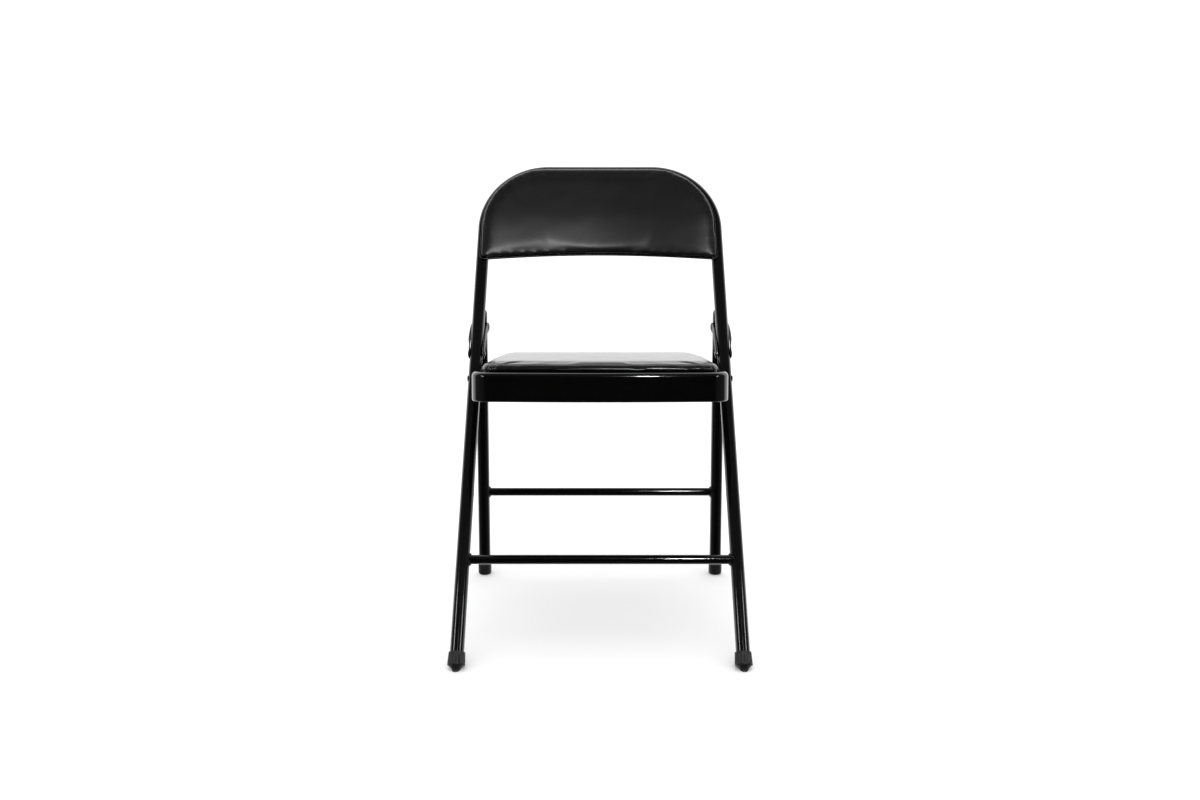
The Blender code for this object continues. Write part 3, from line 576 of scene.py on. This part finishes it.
def inflate(piece, soft, isHeld, material):
    # foam under a stretched cover: a pressure cloth on a remeshed copy, its movement capped
    remesh = piece.modifiers.new("remesh", "REMESH")
    remesh.mode = "VOXEL"
    remesh.voxel_size = soft["voxel"]
    relax = piece.modifiers.new("relax", "SMOOTH")
    relax.factor, relax.iterations = 0.5, 6
    bake(piece)
    start = [vert.co.copy() for vert in piece.data.vertices]
    held = piece.vertex_groups.new(name="held")
    held.add([at for at, co in enumerate(start) if isHeld(co)], 1.0, "REPLACE")
    cloth = piece.modifiers.new("cloth", "CLOTH")
    cloth.settings.vertex_group_mass = "held"
    cloth.settings.quality = 4
    cloth.settings.mass = 0.3
    cloth.settings.tension_stiffness = soft["stiffness"]
    cloth.settings.compression_stiffness = soft["stiffness"]
    cloth.settings.bending_stiffness = soft["bending"]
    cloth.settings.use_pressure = True
    cloth.settings.uniform_pressure_force = soft["pressure"]
    cloth.settings.effector_weights.gravity = 0
    cloth.collision_settings.use_collision = False
    scene = bpy.context.scene
    for frameNumber in range(1, 21):
        scene.frame_set(frameNumber)
    swollen = [vert.co.copy() for vert in meshOf(piece).vertices]
    piece.modifiers.clear()
    scene.frame_set(1)
    for vert, before, after in zip(piece.data.vertices, start, swollen):
        move = after - before
        if move.length > 0:      # levels off towards the cap, so no crease shows where it starts
            move *= soft["cap"] * math.tanh(move.length / soft["cap"]) / move.length
        vert.co = before + move
    relax = piece.modifiers.new("relax", "SMOOTH")
    relax.factor, relax.iterations = 0.5, soft["relax"]
    finer = piece.modifiers.new("finer", "SUBSURF")
    finer.levels = finer.render_levels = 1
    bake(piece)
    piece.vertex_groups.clear()
    piece.data.materials.clear()
    piece.data.materials.append(material)
    piece.data.polygons.foreach_set("use_smooth", [True] * len(piece.data.polygons))


seatPad = {
    "rimSide": 0.012, "rimFront": 0.008, "rimRear": 0.016,
    "height": 0.0140, "falloff": 0.0028,
    "start": 0.0008,             # drawn in before it swells
    "cornerFront": 0.034, "cornerRear": 0.008,
    "voxel": 0.0042, "pressure": 4.0, "stiffness": 15.0, "bending": 0.5, "cap": 0.0022, "relax": 2,
    "frontFold": 0.0013, "rearFold": 0.0007,     # depth of the folds at the corners
    "folds": ((0.55, 0.07), (0.86, 0.06), (1.18, 0.07)),     # angle round the corner and width, in radians
    "crownSlack": 0.00025, "sideSlack": 0.0006,
}


def padPlan(inset):
    plan = roundedPlan(inset, seatPad["cornerFront"], seatPad["cornerRear"])
    reach, middle = (pan["rear"] - pan["front"]) / 2, (pan["rear"] + pan["front"]) / 2
    squeeze = 1 - (seatPad["rimFront"] + seatPad["rimRear"]) / (2 * reach)
    slim = 1 - seatPad["rimSide"] / pan["halfFront"]
    shift = (seatPad["rimFront"] - seatPad["rimRear"]) / 2
    return [(x * slim, middle + (y - middle) * squeeze + shift) for x, y in plan]


def padCorners():
    plan = padPlan(seatPad["cornerFront"])
    across, along = [x for x, y in plan], [y for x, y in plan]
    return min(across), max(across), min(along), max(along)


def addSeatPad():
    floor = pan["top"] + 0.0003
    crown = pan["top"] + seatPad["height"]
    profile = ((0.0, 0.02), (0.0, 0.25), (0.0004, 0.48), (0.0014, 0.68), (0.0032, 0.84), (0.006, 0.94),
               (0.010, 0.98), (0.018, 0.995), (0.04, 1.0), (0.08, 1.02), (0.12, 1.03))
    rings = [[(x, y, floor) for x, y in padPlan(seatPad["start"] + inset)] for inset in (0.10, 0.02, 0.0012)]
    for draw, share in profile:
        rings.append([(x, y, floor + share * (crown - seatPad["falloff"] * max(0, y) / pan["rear"] - floor))
                      for x, y in padPlan(seatPad["start"] + draw)])
    form = skinRings(rings)
    form.transform(seatFrame)
    piece = addPiece("seatPad", form, seatVinyl, "seat",
                     ["seat_cover", "seat_foam", "seat_board"], sharp=180)
    back = seatFrame.inverted()
    inflate(piece, seatPad, lambda co: (back @ co).z < floor + 0.003, seatVinyl)
    left, right, near, far = padCorners()
    for vert in piece.data.vertices:
        co = back @ vert.co
        height = co.z - floor
        # folds pulled round each front corner, and softer ones at the rear
        for cornerX, side in ((left, -1), (right, 1)):
            for cornerY, way, depth in ((near, -1, seatPad["frontFold"]), (far, 1, seatPad["rearFold"])):
                out = Vector(((co.x - cornerX) * side, (co.y - cornerY) * way))
                if out.x > -0.01 and out.y > -0.01:
                    angle = math.atan2(out.y, out.x)
                    reach = out.length
                    amount = ease(0.012, 0.030, reach) * (1 - ease(0.011, 0.017, height))
                    for fold, width in seatPad["folds"]:
                        dip = math.exp(-((angle - fold - 0.12 * math.sin(40 * height)) / width) ** 2)
                        inwards = Vector((-side * math.cos(angle), -way * math.sin(angle), -0.35))
                        co += inwards * depth * amount * dip
        # slack in the cover along the sides and over the crown
        wave = noise.noise(Vector((co.x * 30, co.y * 18, 3.1)))
        edge = 1 - ease(0.0, 0.014, height)
        co.z += seatPad["crownSlack"] * wave * ease(0.004, 0.012, height)
        slack = math.copysign(seatPad["sideSlack"], co.x)
        co.x += slack * noise.noise(Vector((co.y * 60, co.z * 90, 7.7))) * edge
        co.z = max(co.z, floor)
        vert.co = seatFrame @ co


addSeatPad()
print("seat pad made")

backPad = {
    "side": 0.0008,              # pad edge outside the tube's axis
    "shift": -0.0026,            # sits a touch to the left
    "topRise": 0.002, "bottom": 0.5925, "arch": 0.006, "archReach": 0.05, "lowerCorner": 0.009,
    "edge": 0.0012,              # drawn in before it swells
    "thickness": 0.018, "crown": 0.0015, "gap": 0.0006, "roll": 0.0055, "lowerRoll": 0.0034,
    "lowerThin": 0.0052, "thinReach": 0.085,     # the foam thins towards the lower edge
    "voxel": 0.0042, "pressure": 3.5, "stiffness": 15.0, "bending": 0.5, "cap": 0.002, "relax": 2,
    "slack": 0.0003,
    "welt": 0.0015, "weltInset": 0.0011, "weltDepth": 0.0017,
}


def archLift(x, widest, above):  # the lower edge is arched, most in the middle
    return backPad["arch"] * max(0, 1 - (x / widest) ** 2) * max(0, 1 - above / backPad["archReach"])


def backOutline(inset):
    # the pad's outline: up from the lower right, over the top, down the left, back along the bottom
    low = backAlong(backPad["bottom"])
    high = upperLength + backPad["topRise"]
    straight = upperLength - tube["cornerRadius"]
    side = backPad["side"]
    points = []
    cornerX = backHalf(straight) - tube["cornerRadius"]
    small = backPad["lowerCorner"]
    right = [(backHalf(low + small) + side - small + small * math.cos(a), low + small + small * math.sin(a))
             for a in [-math.pi / 2 + math.pi / 2 * step / 6 for step in range(7)]]
    right += [(backHalf(low + small + (straight - low - small) * share) + side,
               low + small + (straight - low - small) * share) for share in (0.25, 0.5, 0.75)]
    reachX, reachY = tube["cornerRadius"] + side, high - straight
    right += [(cornerX + reachX * math.cos(a), straight + reachY * math.sin(a))
              for a in [math.pi / 2 * step / 20 for step in range(21)]]
    top = [(cornerX * (1 - step / 8), high) for step in range(1, 9)]
    half = right + top
    outline = half + [(-x, y) for x, y in reversed(half[:-1])]
    width = backHalf(low) + side - small
    outline += [(-width + 2 * width * step / 16, low) for step in range(1, 16)]
    widest = backHalf(low) + side
    made = []
    for x, along in outline:
        made.append(Vector((x, along + archLift(x, widest, along - low))))
    if not inset:
        return made
    inner = []
    for at, point in enumerate(made):
        ahead = made[(at + 1) % len(made)] - made[at - 1]
        normal = Vector((-ahead.y, ahead.x)).normalized()
        inner.append(point + normal * inset)
    return inner


def backSurface(x, along, depth):
    return backPlace(x, along, depth) + Vector((backPad["shift"], 0, 0))


def addBackPad():
    rear = tube["radius"] + backPad["gap"]
    edge, crown = backPad["edge"], backPad["crown"]
    front = rear + backPad["thickness"] - crown
    outline = backOutline(edge)
    middle = Vector((0, sum(point.y for point in outline) / len(outline)))
    low = backAlong(backPad["bottom"])
    rings = []

    def ring(inset, share, depth, rolled=False):
        made = []
        further = backOutline(edge + inset * backPad["lowerRoll"] / backPad["roll"]) if rolled else None
        for at, (point, inner) in enumerate(zip(outline, backOutline(edge + inset))):
            if rolled:
                inner = inner.lerp(further[at], 1 - ease(low, low + 0.03, point.y))
            flat = inner.lerp(middle, share)
            height = max(depth - rear - 0.005, 0) / (front - rear - 0.005)
            thin = backPad["lowerThin"] * (1 - ease(0, 1, (flat.y - low) / backPad["thinReach"])) * height
            made.append(backSurface(flat.x, flat.y, depth - thin))
        rings.append(made)

    for share in (0.85, 0.6, 0.35, 0.15):
        ring(0.006, share, rear)
    ring(0.0035, 0, rear)
    ring(0.0012, 0, rear + 0.0012)
    ring(0.0003, 0, rear + 0.003)
    for step in range(9):
        turn = math.pi / 2 * step / 8
        start = rear + 0.005
        depth = start + (front - crown - start) * math.sin(turn)
        ring(backPad["roll"] * (1 - math.cos(turn)), 0, depth, True)
    for share, lift in ((0.06, 0.0006), (0.12, 0.0010), (0.19, 0.0012), (0.26, 0.0013), (0.34, 0.0014),
                        (0.42, 0.0015), (0.52, 0.0015), (0.62, 0.0015), (0.74, 0.0015), (0.87, 0.0015)):
        ring(backPad["roll"], share, front - crown + lift, True)
    form = skinRings(rings)
    piece = addPiece("backPad", form, backVinyl, "front_frame",
                     ["back_cover", "back_foam", "back_board"], sharp=180)

    def depthOf(co):             # in front of the bowed surface through the tube's axis
        x = co.x - backPad["shift"]
        along = (co - backPlace(x, 0)).dot(upperDirection)
        return (co - backSurface(x, along, 0)).dot(backNormal)

    inflate(piece, backPad, lambda co: depthOf(co) < rear + 0.003, backVinyl)
    for vert in piece.data.vertices:
        co = vert.co
        wave = noise.noise(Vector((co.x * 26, co.z * 34, 1.3)))
        face = ease(rear + 0.008, rear + 0.016, depthOf(co))
        vert.co = co + backNormal * backPad["slack"] * wave * face
    # piping sewn into the cover's edge
    depth = rear + backPad["weltDepth"]
    path = [backSurface(point.x, point.y, depth) for point in backOutline(backPad["weltInset"])]
    addPiece("backPiping", skinRings(sweepRings(path, backPad["welt"], 12, loop=True), loop=True), backVinyl,
             "front_frame", sharp=180)


addBackPad()
print("back pad made")

backPanel = {"gap": 0.0096, "depth": 0.0085, "half": 0.0005, "low": 0.003, "hem": 0.0016}


def backPanelForm():
    low = backAlong(backPad["bottom"]) + backPanel["low"]
    high = upperLength - backPanel["gap"]
    straight = upperLength - tube["cornerRadius"]
    reach = high - straight
    rows = [low + (straight - low) * step / 6 for step in range(6)]
    rows += [straight + reach * math.sin(math.pi / 2 * step / 12) for step in range(13)]
    widest = backHalf(low) - backPanel["gap"]
    columns = 32
    layers = []
    for depth in (backPanel["depth"] - backPanel["half"], backPanel["depth"] + backPanel["half"]):
        grid = []
        for along in rows:
            rise = max(along - straight, 0) / reach
            corner = backHalf(min(along, straight)) - tube["cornerRadius"]
            half = corner + (tube["cornerRadius"] - backPanel["gap"]) * math.sqrt(max(1 - rise ** 2, 0))
            line = []
            for step in range(columns + 1):
                x = half * math.sin(math.pi * (step / columns - 0.5))
                line.append(backPlace(x, along + archLift(x, widest, along - low), depth))
            grid.append(line)
        layers.append(grid)
    return sheetForm(layers)


addPiece("backPanel", backPanelForm(), enamel, "front_frame", ["back_panel"])
hemLow = backAlong(backPad["bottom"]) + backPanel["low"]
hemHalf = backHalf(hemLow) - backPanel["gap"] - 0.001
hemPath = []
for step in range(49):
    x = hemHalf * (step / 24 - 1)
    lift = backPad["arch"] * (1 - (x / hemHalf) ** 2)
    hemPath.append(backPlace(x, hemLow + lift + 0.0006, backPanel["depth"] - 0.0003))
addPiece("backPanelHem", skinRings(sweepRings(hemPath, backPanel["hem"], 14)), enamel, "front_frame")
print("back panel made")


# hinge links

link = {"sheet": 0.0015, "halfWidth": 0.008, "arch": 0.012, "innerFace": 0.2019, "outerSeat": 0.2259,
        "joggle": 0.0019, "steps": 28}
pin = {"shank": 0.003, "play": 0.0003, "head": 0.0055, "headHeight": 0.0014, "smallHead": 0.0045,
       "spacer": 0.005, "chamfer": 0.0003, "touch": 0.0003,
       "tuck": 0.0008}                  # how far inside the pan's side a head sits


def linkForm(innerX, side, joggled):
    start, end = Vector(pivots["frame"]), Vector(pivots["link"])
    span = (end - start).length
    ahead = (end - start) / span
    up = Vector((-ahead.y, ahead.x))
    radius = (span ** 2 / 4 + link["arch"] ** 2) / (2 * link["arch"])
    centre = (start + end) / 2 - up * (radius - link["arch"])
    half = math.asin(span / 2 / radius)
    axis = math.atan2(up.y, up.x)
    across = 8
    steps = link["steps"]

    def endLines(middle, outward, first):
        # half discs at the two ends, as lines that close in on the tip
        turns = [math.pi / 2 * step / 8 for step in range(1, 9)]
        made = []
        for a in turns:
            reach, wide = link["halfWidth"] * math.sin(a), link["halfWidth"] * math.cos(a)
            sideways = Vector((-outward.y, outward.x)) * first
            made.append([middle + outward * reach + sideways * wide * (1 - 2 * at / across)
                         for at in range(across + 1)])
        return made

    body = []
    for step in range(steps + 1):
        turn = axis + half * (1 - 2 * step / steps)
        ray = Vector((math.cos(turn), math.sin(turn)))
        body.append([centre + ray * (radius + link["halfWidth"] * (1 - 2 * at / across))
                     for at in range(across + 1)])
    firstRay = (body[0][0] - start).normalized()
    lastRay = (body[-1][0] - end).normalized()
    tailward = Vector((-firstRay.y, firstRay.x))
    tipward = Vector((lastRay.y, -lastRay.x))
    tail = endLines(start, tailward, -1)
    tip = endLines(end, tipward, 1)
    lines = tail[::-1] + body + tip

    def out(point):
        along = (point - start).dot(ahead)
        return link["joggle"] * ease(0.009, 0.023, along) if joggled else 0.0

    layers = []
    for lift in (0.0, link["sheet"]):
        layers.append([[world(side * (innerX + out(point) + lift), *point) for point in line]
                       for line in lines])
    form = sheetForm(layers)
    bmesh.ops.remove_doubles(form, verts=form.verts, dist=1e-6)
    bmesh.ops.dissolve_degenerate(form, edges=form.edges, dist=1e-6)
    return form


def dome(radius, height, base, way):
    # a set rivet head: short upright edge, then a low dome to the middle
    low = 0.3 * height
    points = [(radius, base), (radius, base + way * low)]
    for step in range(1, 9):
        turn = math.pi / 2 * step / 8
        points.append((radius * math.cos(turn), base + way * (low + (height - low) * math.sin(turn))))
    points[-1] = (0, base + way * height)
    return points


def rivetForm(length, outerHead, innerHead):
    outline = dome(innerHead, pin["headHeight"], 0, -1)[::-1]
    outline += [(pin["shank"], 0.0), (pin["shank"], length)] + dome(outerHead, pin["headHeight"], length, 1)
    return turnedForm(outline, 28)


def sleeveForm(inner, outer, low, high):
    c = pin["chamfer"]
    outline = [(inner, low), (outer - c, low), (outer, low + c), (outer, high - c), (outer - c, high),
               (inner, high)]
    turns = [2 * math.pi * at / 28 for at in range(28)]
    rings = [[Vector((r * math.cos(a), r * math.sin(a), z)) for a in turns] for r, z in outline]
    return skinRings(rings, loop=True)


def crossPlace(where, innerX, side):
    start = world(side * innerX, *where)
    return aim(start, start + Vector((side, 0, 0)))


for side, word in sides:
    Word = word.title()
    innerSeat = link["innerFace"] - link["sheet"]
    outerFar = link["outerSeat"] + link["joggle"]
    legOut = abs(rearLegAt(pivots["link"][1]).x) + tube["radius"]
    frameIn = abs(frontLegAt(pivots["frame"][1]).x) - tube["radius"]
    for label, innerX, joggled in (("Inner", innerSeat, False), ("Outer", link["outerSeat"], True)):
        plate = addPiece(f"linkPlate{label}{Word}", linkForm(innerX, side, joggled), dullEnamel,
                         "hinge_links", [f"link_plate_{label.lower()}_{word}"])
        softEdge(plate, 0.0004)
    low = innerSeat - pin["touch"]
    span = link["outerSeat"] + link["sheet"] + pin["touch"] - low
    addPiece(f"linkFrontRivet{Word}", rivetForm(span, pin["head"], pin["smallHead"]), enamel, "front_frame",
             [f"link_front_rivet_{word}"], place=crossPlace(pivots["frame"], low, side))
    length = frameIn - link["innerFace"] - 2 * pin["touch"]
    addPiece(f"linkFrontWasher{Word}", sleeveForm(pin["shank"] + pin["play"], pin["spacer"], 0, length),
             zinc, "front_frame", [f"link_front_washer_{word}"],
             place=crossPlace(pivots["frame"], link["innerFace"] + pin["touch"], side))
    span = outerFar + link["sheet"] + pin["touch"] - low
    addPiece(f"linkRearRivet{Word}", rivetForm(span, pin["head"], pin["head"]), enamel, "hinge_links",
             [f"link_rear_rivet_{word}"], place=crossPlace(pivots["link"], low, side))
    addPiece(f"linkRearWasher{Word}",
             sleeveForm(pin["shank"] + pin["play"], pin["spacer"], 0, outerFar - legOut - 2 * pin["touch"]),
             zinc, "hinge_links", [f"link_rear_washer_{word}"],
             place=crossPlace(pivots["link"], legOut + pin["touch"], side))

    tubeX = abs(frontLegAt(pivots["seat"][1]).x)
    legX = abs(rearLegAt(pivots["rear"][1]).x)
    atSeat, atRear = panHalf(0.0), panHalf(math.dist(pivots["seat"], pivots["rear"]))
    low = atSeat - pan["sheet"] - pin["tuck"]
    addPiece(f"seatPivotRivet{Word}", rivetForm(tubeX + tube["radius"] + pin["touch"] - low, pin["head"],
                                                pin["smallHead"]),
             enamel, "front_frame", [f"seat_pivot_rivet_{word}"],
             place=crossPlace(pivots["seat"], low, side))
    start = atSeat + 2 * pin["touch"]
    addPiece(f"seatPivotSpacer{Word}", sleeveForm(pin["shank"] + pin["play"], pin["spacer"], 0,
                                                  tubeX - tube["radius"] - pin["touch"] - start),
             zinc, "front_frame", [f"seat_pivot_spacer_{word}"],
             place=crossPlace(pivots["seat"], start, side))
    low = atRear - pan["sheet"] - pin["tuck"]
    start = atRear + 2 * pin["touch"] - low
    end = legX - tube["radius"] - 2 * pin["touch"] - low
    outline = dome(pin["smallHead"], pin["headHeight"], 0, -1)[::-1]
    outline += [(pin["shank"], 0.0), (pin["shank"], start), (pin["spacer"] - pin["chamfer"], start),
                (pin["spacer"], start + pin["chamfer"]), (pin["spacer"], end - pin["chamfer"]),
                (pin["spacer"] - pin["chamfer"], end), (0, end)]
    addPiece(f"rearPivotBush{Word}", turnedForm(outline, 28), zinc, "seat",
             [f"rear_pivot_bush_{word}"], place=crossPlace(pivots["rear"], low, side))
    low = legX - tube["radius"] + pin["touch"]
    span = legX + tube["radius"] + pin["touch"] - low
    outline = [(0, 0), (pin["shank"], 0), (pin["shank"], span)]
    outline += dome(pin["head"], pin["headHeight"], span, 1)
    addPiece(f"rearPivotRivet{Word}", turnedForm(outline, 28), enamel, "rear_legs",
             [f"rear_pivot_rivet_{word}"], place=crossPlace(pivots["rear"], low, side))
print("hinges made")


# screws

screw = {"head": 0.0045, "rise": 0.0021, "shank": 0.0019, "slot": 0.0009, "reach": 0.0022, "deep": 0.0011,
         "seatSide": 0.11, "fromFront": 0.07, "fromRear": 0.08, "seatLength": 0.0048,
         "backSide": 0.12, "backRises": (0.035, 0.10), "backLength": 0.005}


def screwForm(length):
    # pan head below the local zero, with a cross recess cut into it
    outline = [(0.0, -screw["rise"])]
    for step in range(1, 9):
        turn = math.pi / 2 * step / 8
        outline.append((screw["head"] * math.sin(turn), -screw["rise"] * (0.25 + 0.75 * math.cos(turn))))
    outline += [(screw["head"], 0), (screw["shank"], 0), (screw["shank"], length), (0, length)]
    form = turnedForm(outline, 24)
    for vert in form.verts:
        x, y, z = vert.co
        if z < -0.0006:
            near = min(abs(x), abs(y)) < screw["slot"] and max(abs(x), abs(y)) < screw["reach"]
            if near:
                vert.co.z += screw["deep"] * (1 - 0.4 * max(abs(x), abs(y)) / screw["reach"])
    return form


screwNumber = 0
for x in (-screw["seatSide"], screw["seatSide"]):
    for y in (pan["front"] + screw["fromFront"], pan["rear"] - screw["fromRear"]):
        screwNumber += 1
        low = pan["top"] - pan["sheet"] - 0.0003
        place = seatFrame @ Matrix.Translation((x, y, low))
        addPiece(f"seatScrew{screwNumber}", screwForm(screw["seatLength"]), zinc, "seat",
                 [f"seat_screw_{screwNumber}"], place=place)
screwNumber = 0
for x in (-screw["backSide"], screw["backSide"]):
    for rise in screw["backRises"]:
        screwNumber += 1
        along = backAlong(backPad["bottom"]) + rise
        start = backPlace(x, along, backPanel["depth"] - backPanel["half"] - 0.0006)
        across = backPlace(x + 0.001, along) - backPlace(x - 0.001, along)
        facing = across.cross(upperDirection).normalized()
        addPiece(f"backScrew{screwNumber}", screwForm(screw["backLength"]), zinc, "front_frame",
                 [f"back_screw_{screwNumber}"], place=aim(start, start + facing))
print("screws made")


# floor, light and camera

studio = {
    "floor": "#fcfcfc", "floorLight": "#fefefe", "floorSize": 7.0, "floorFront": -2.2,
    "room": 1.27,                                # even light from the room's white walls
    "behind": ((0.10, 0.010), (0.18, 0.09), (0.60, 0.15), (0.70, 1.5)),     # what gloss sees, front to back
    "overhead": {"place": (0, 0.35, 2.6), "target": (0, 0.35, 0), "size": (1.5, 1.5), "power": 9},
    "flash": {"place": (0.31, -1.9, 1.54), "target": (0, 0.1, 0.6), "size": (0.12, 0.12), "power": 19},
    "strip": {"place": (1.9, -1.3, 1.18), "target": (0, -0.1, 0.2), "size": (0.18, 0.8), "power": 8},
}
view = {"lens": 32.63, "sensor": 36, "place": (0, -1.8084, 0.7297), "downwards": math.radians(11.222)}


def addStudio():
    mesh = bpy.data.meshes.new("floor")
    half, front = studio["floorSize"], studio["floorFront"]
    corners = [(-half, front, 0), (half, front, 0), (half, half, 0), (-half, half, 0)]
    mesh.from_pydata(corners, [], [(0, 1, 2, 3)])
    material, tree, surface, where = newMaterial("paperSweepWhite", 0.9)
    tone = addNode(tree, "TexNoise", {}, {"Scale": 1.5}, {"Vector": where})
    twoTone(tree, surface, tone.outputs["Fac"], studio["floor"], studio["floorLight"])
    mesh.materials.append(material)
    floor = bpy.data.objects.new("floor", mesh)
    bpy.context.scene.collection.objects.link(floor)
    floor.visible_glossy = False   # the gloss sees the dark end of the room, not the paper

    room = bpy.data.worlds.new("studio")
    bpy.context.scene.world = room
    room.use_nodes = True
    tree = room.node_tree
    tree.nodes.clear()
    heading = addNode(tree, "TexCoord").outputs["Generated"]
    parts = addNode(tree, "SeparateXYZ", feeds={"Vector": heading})
    turned = addNode(tree, "MapRange", {}, {"From Min": -1.0, "From Max": 1.0},
                     {"Value": parts.outputs["Y"]})
    behind = addNode(tree, "ValToRGB", feeds={"Fac": turned.outputs["Result"]})
    stops = behind.color_ramp.elements
    first, *between, last = studio["behind"]
    for stop, (position, level) in ((stops[0], first), (stops[1], last)):
        stop.position, stop.color = position, (level, level, level, 1)
    for position, level in between:
        stops.new(position).color = (level, level, level, 1)
    # only reflections see the dark side of the room behind the camera
    mirrored = addNode(tree, "LightPath").outputs["Is Glossy Ray"]
    strength = addNode(tree, "Mix", {"data_type": "FLOAT"}, {2: studio["room"]},
                       {0: mirrored, 3: behind.outputs["Color"]})
    sky = addNode(tree, "Background", {}, {"Color": (1, 1, 1, 1)}, {"Strength": strength.outputs[0]})
    addNode(tree, "OutputWorld", feeds={"Surface": sky.outputs["Background"]})

    def addLight(name, lit, side=1, mirrored=True):
        light = bpy.data.lights.new(name, "AREA")
        light.shape = "RECTANGLE"
        light.size, light.size_y = lit["size"]
        light.energy = lit["power"]
        lamp = bpy.data.objects.new(name, light)
        place = Vector((side * lit["place"][0], *lit["place"][1:]))
        lamp.matrix_world = aim(place, place * 2 - Vector(lit["target"]))
        lamp.visible_glossy = mirrored
        lamp.visible_diffuse = not mirrored    # the small lights only draw glints, and throw no shadows
        bpy.context.scene.collection.objects.link(lamp)

    addLight("overhead", studio["overhead"], mirrored=False)
    addLight("flash", studio["flash"])
    for side, word in sides:
        addLight(f"strip{word.title()}", studio["strip"], side)


addStudio()
camera = bpy.data.cameras.new("camera")
camera.lens, camera.sensor_width = view["lens"], view["sensor"]
cameraPiece = bpy.data.objects.new("camera", camera)
cameraPiece.location = view["place"]
cameraPiece.rotation_euler = (math.pi / 2 - view["downwards"], 0, 0)
bpy.context.scene.collection.objects.link(cameraPiece)
bpy.context.scene.camera = cameraPiece
bpy.context.scene.view_settings.view_transform = "Standard"
print("studio made")
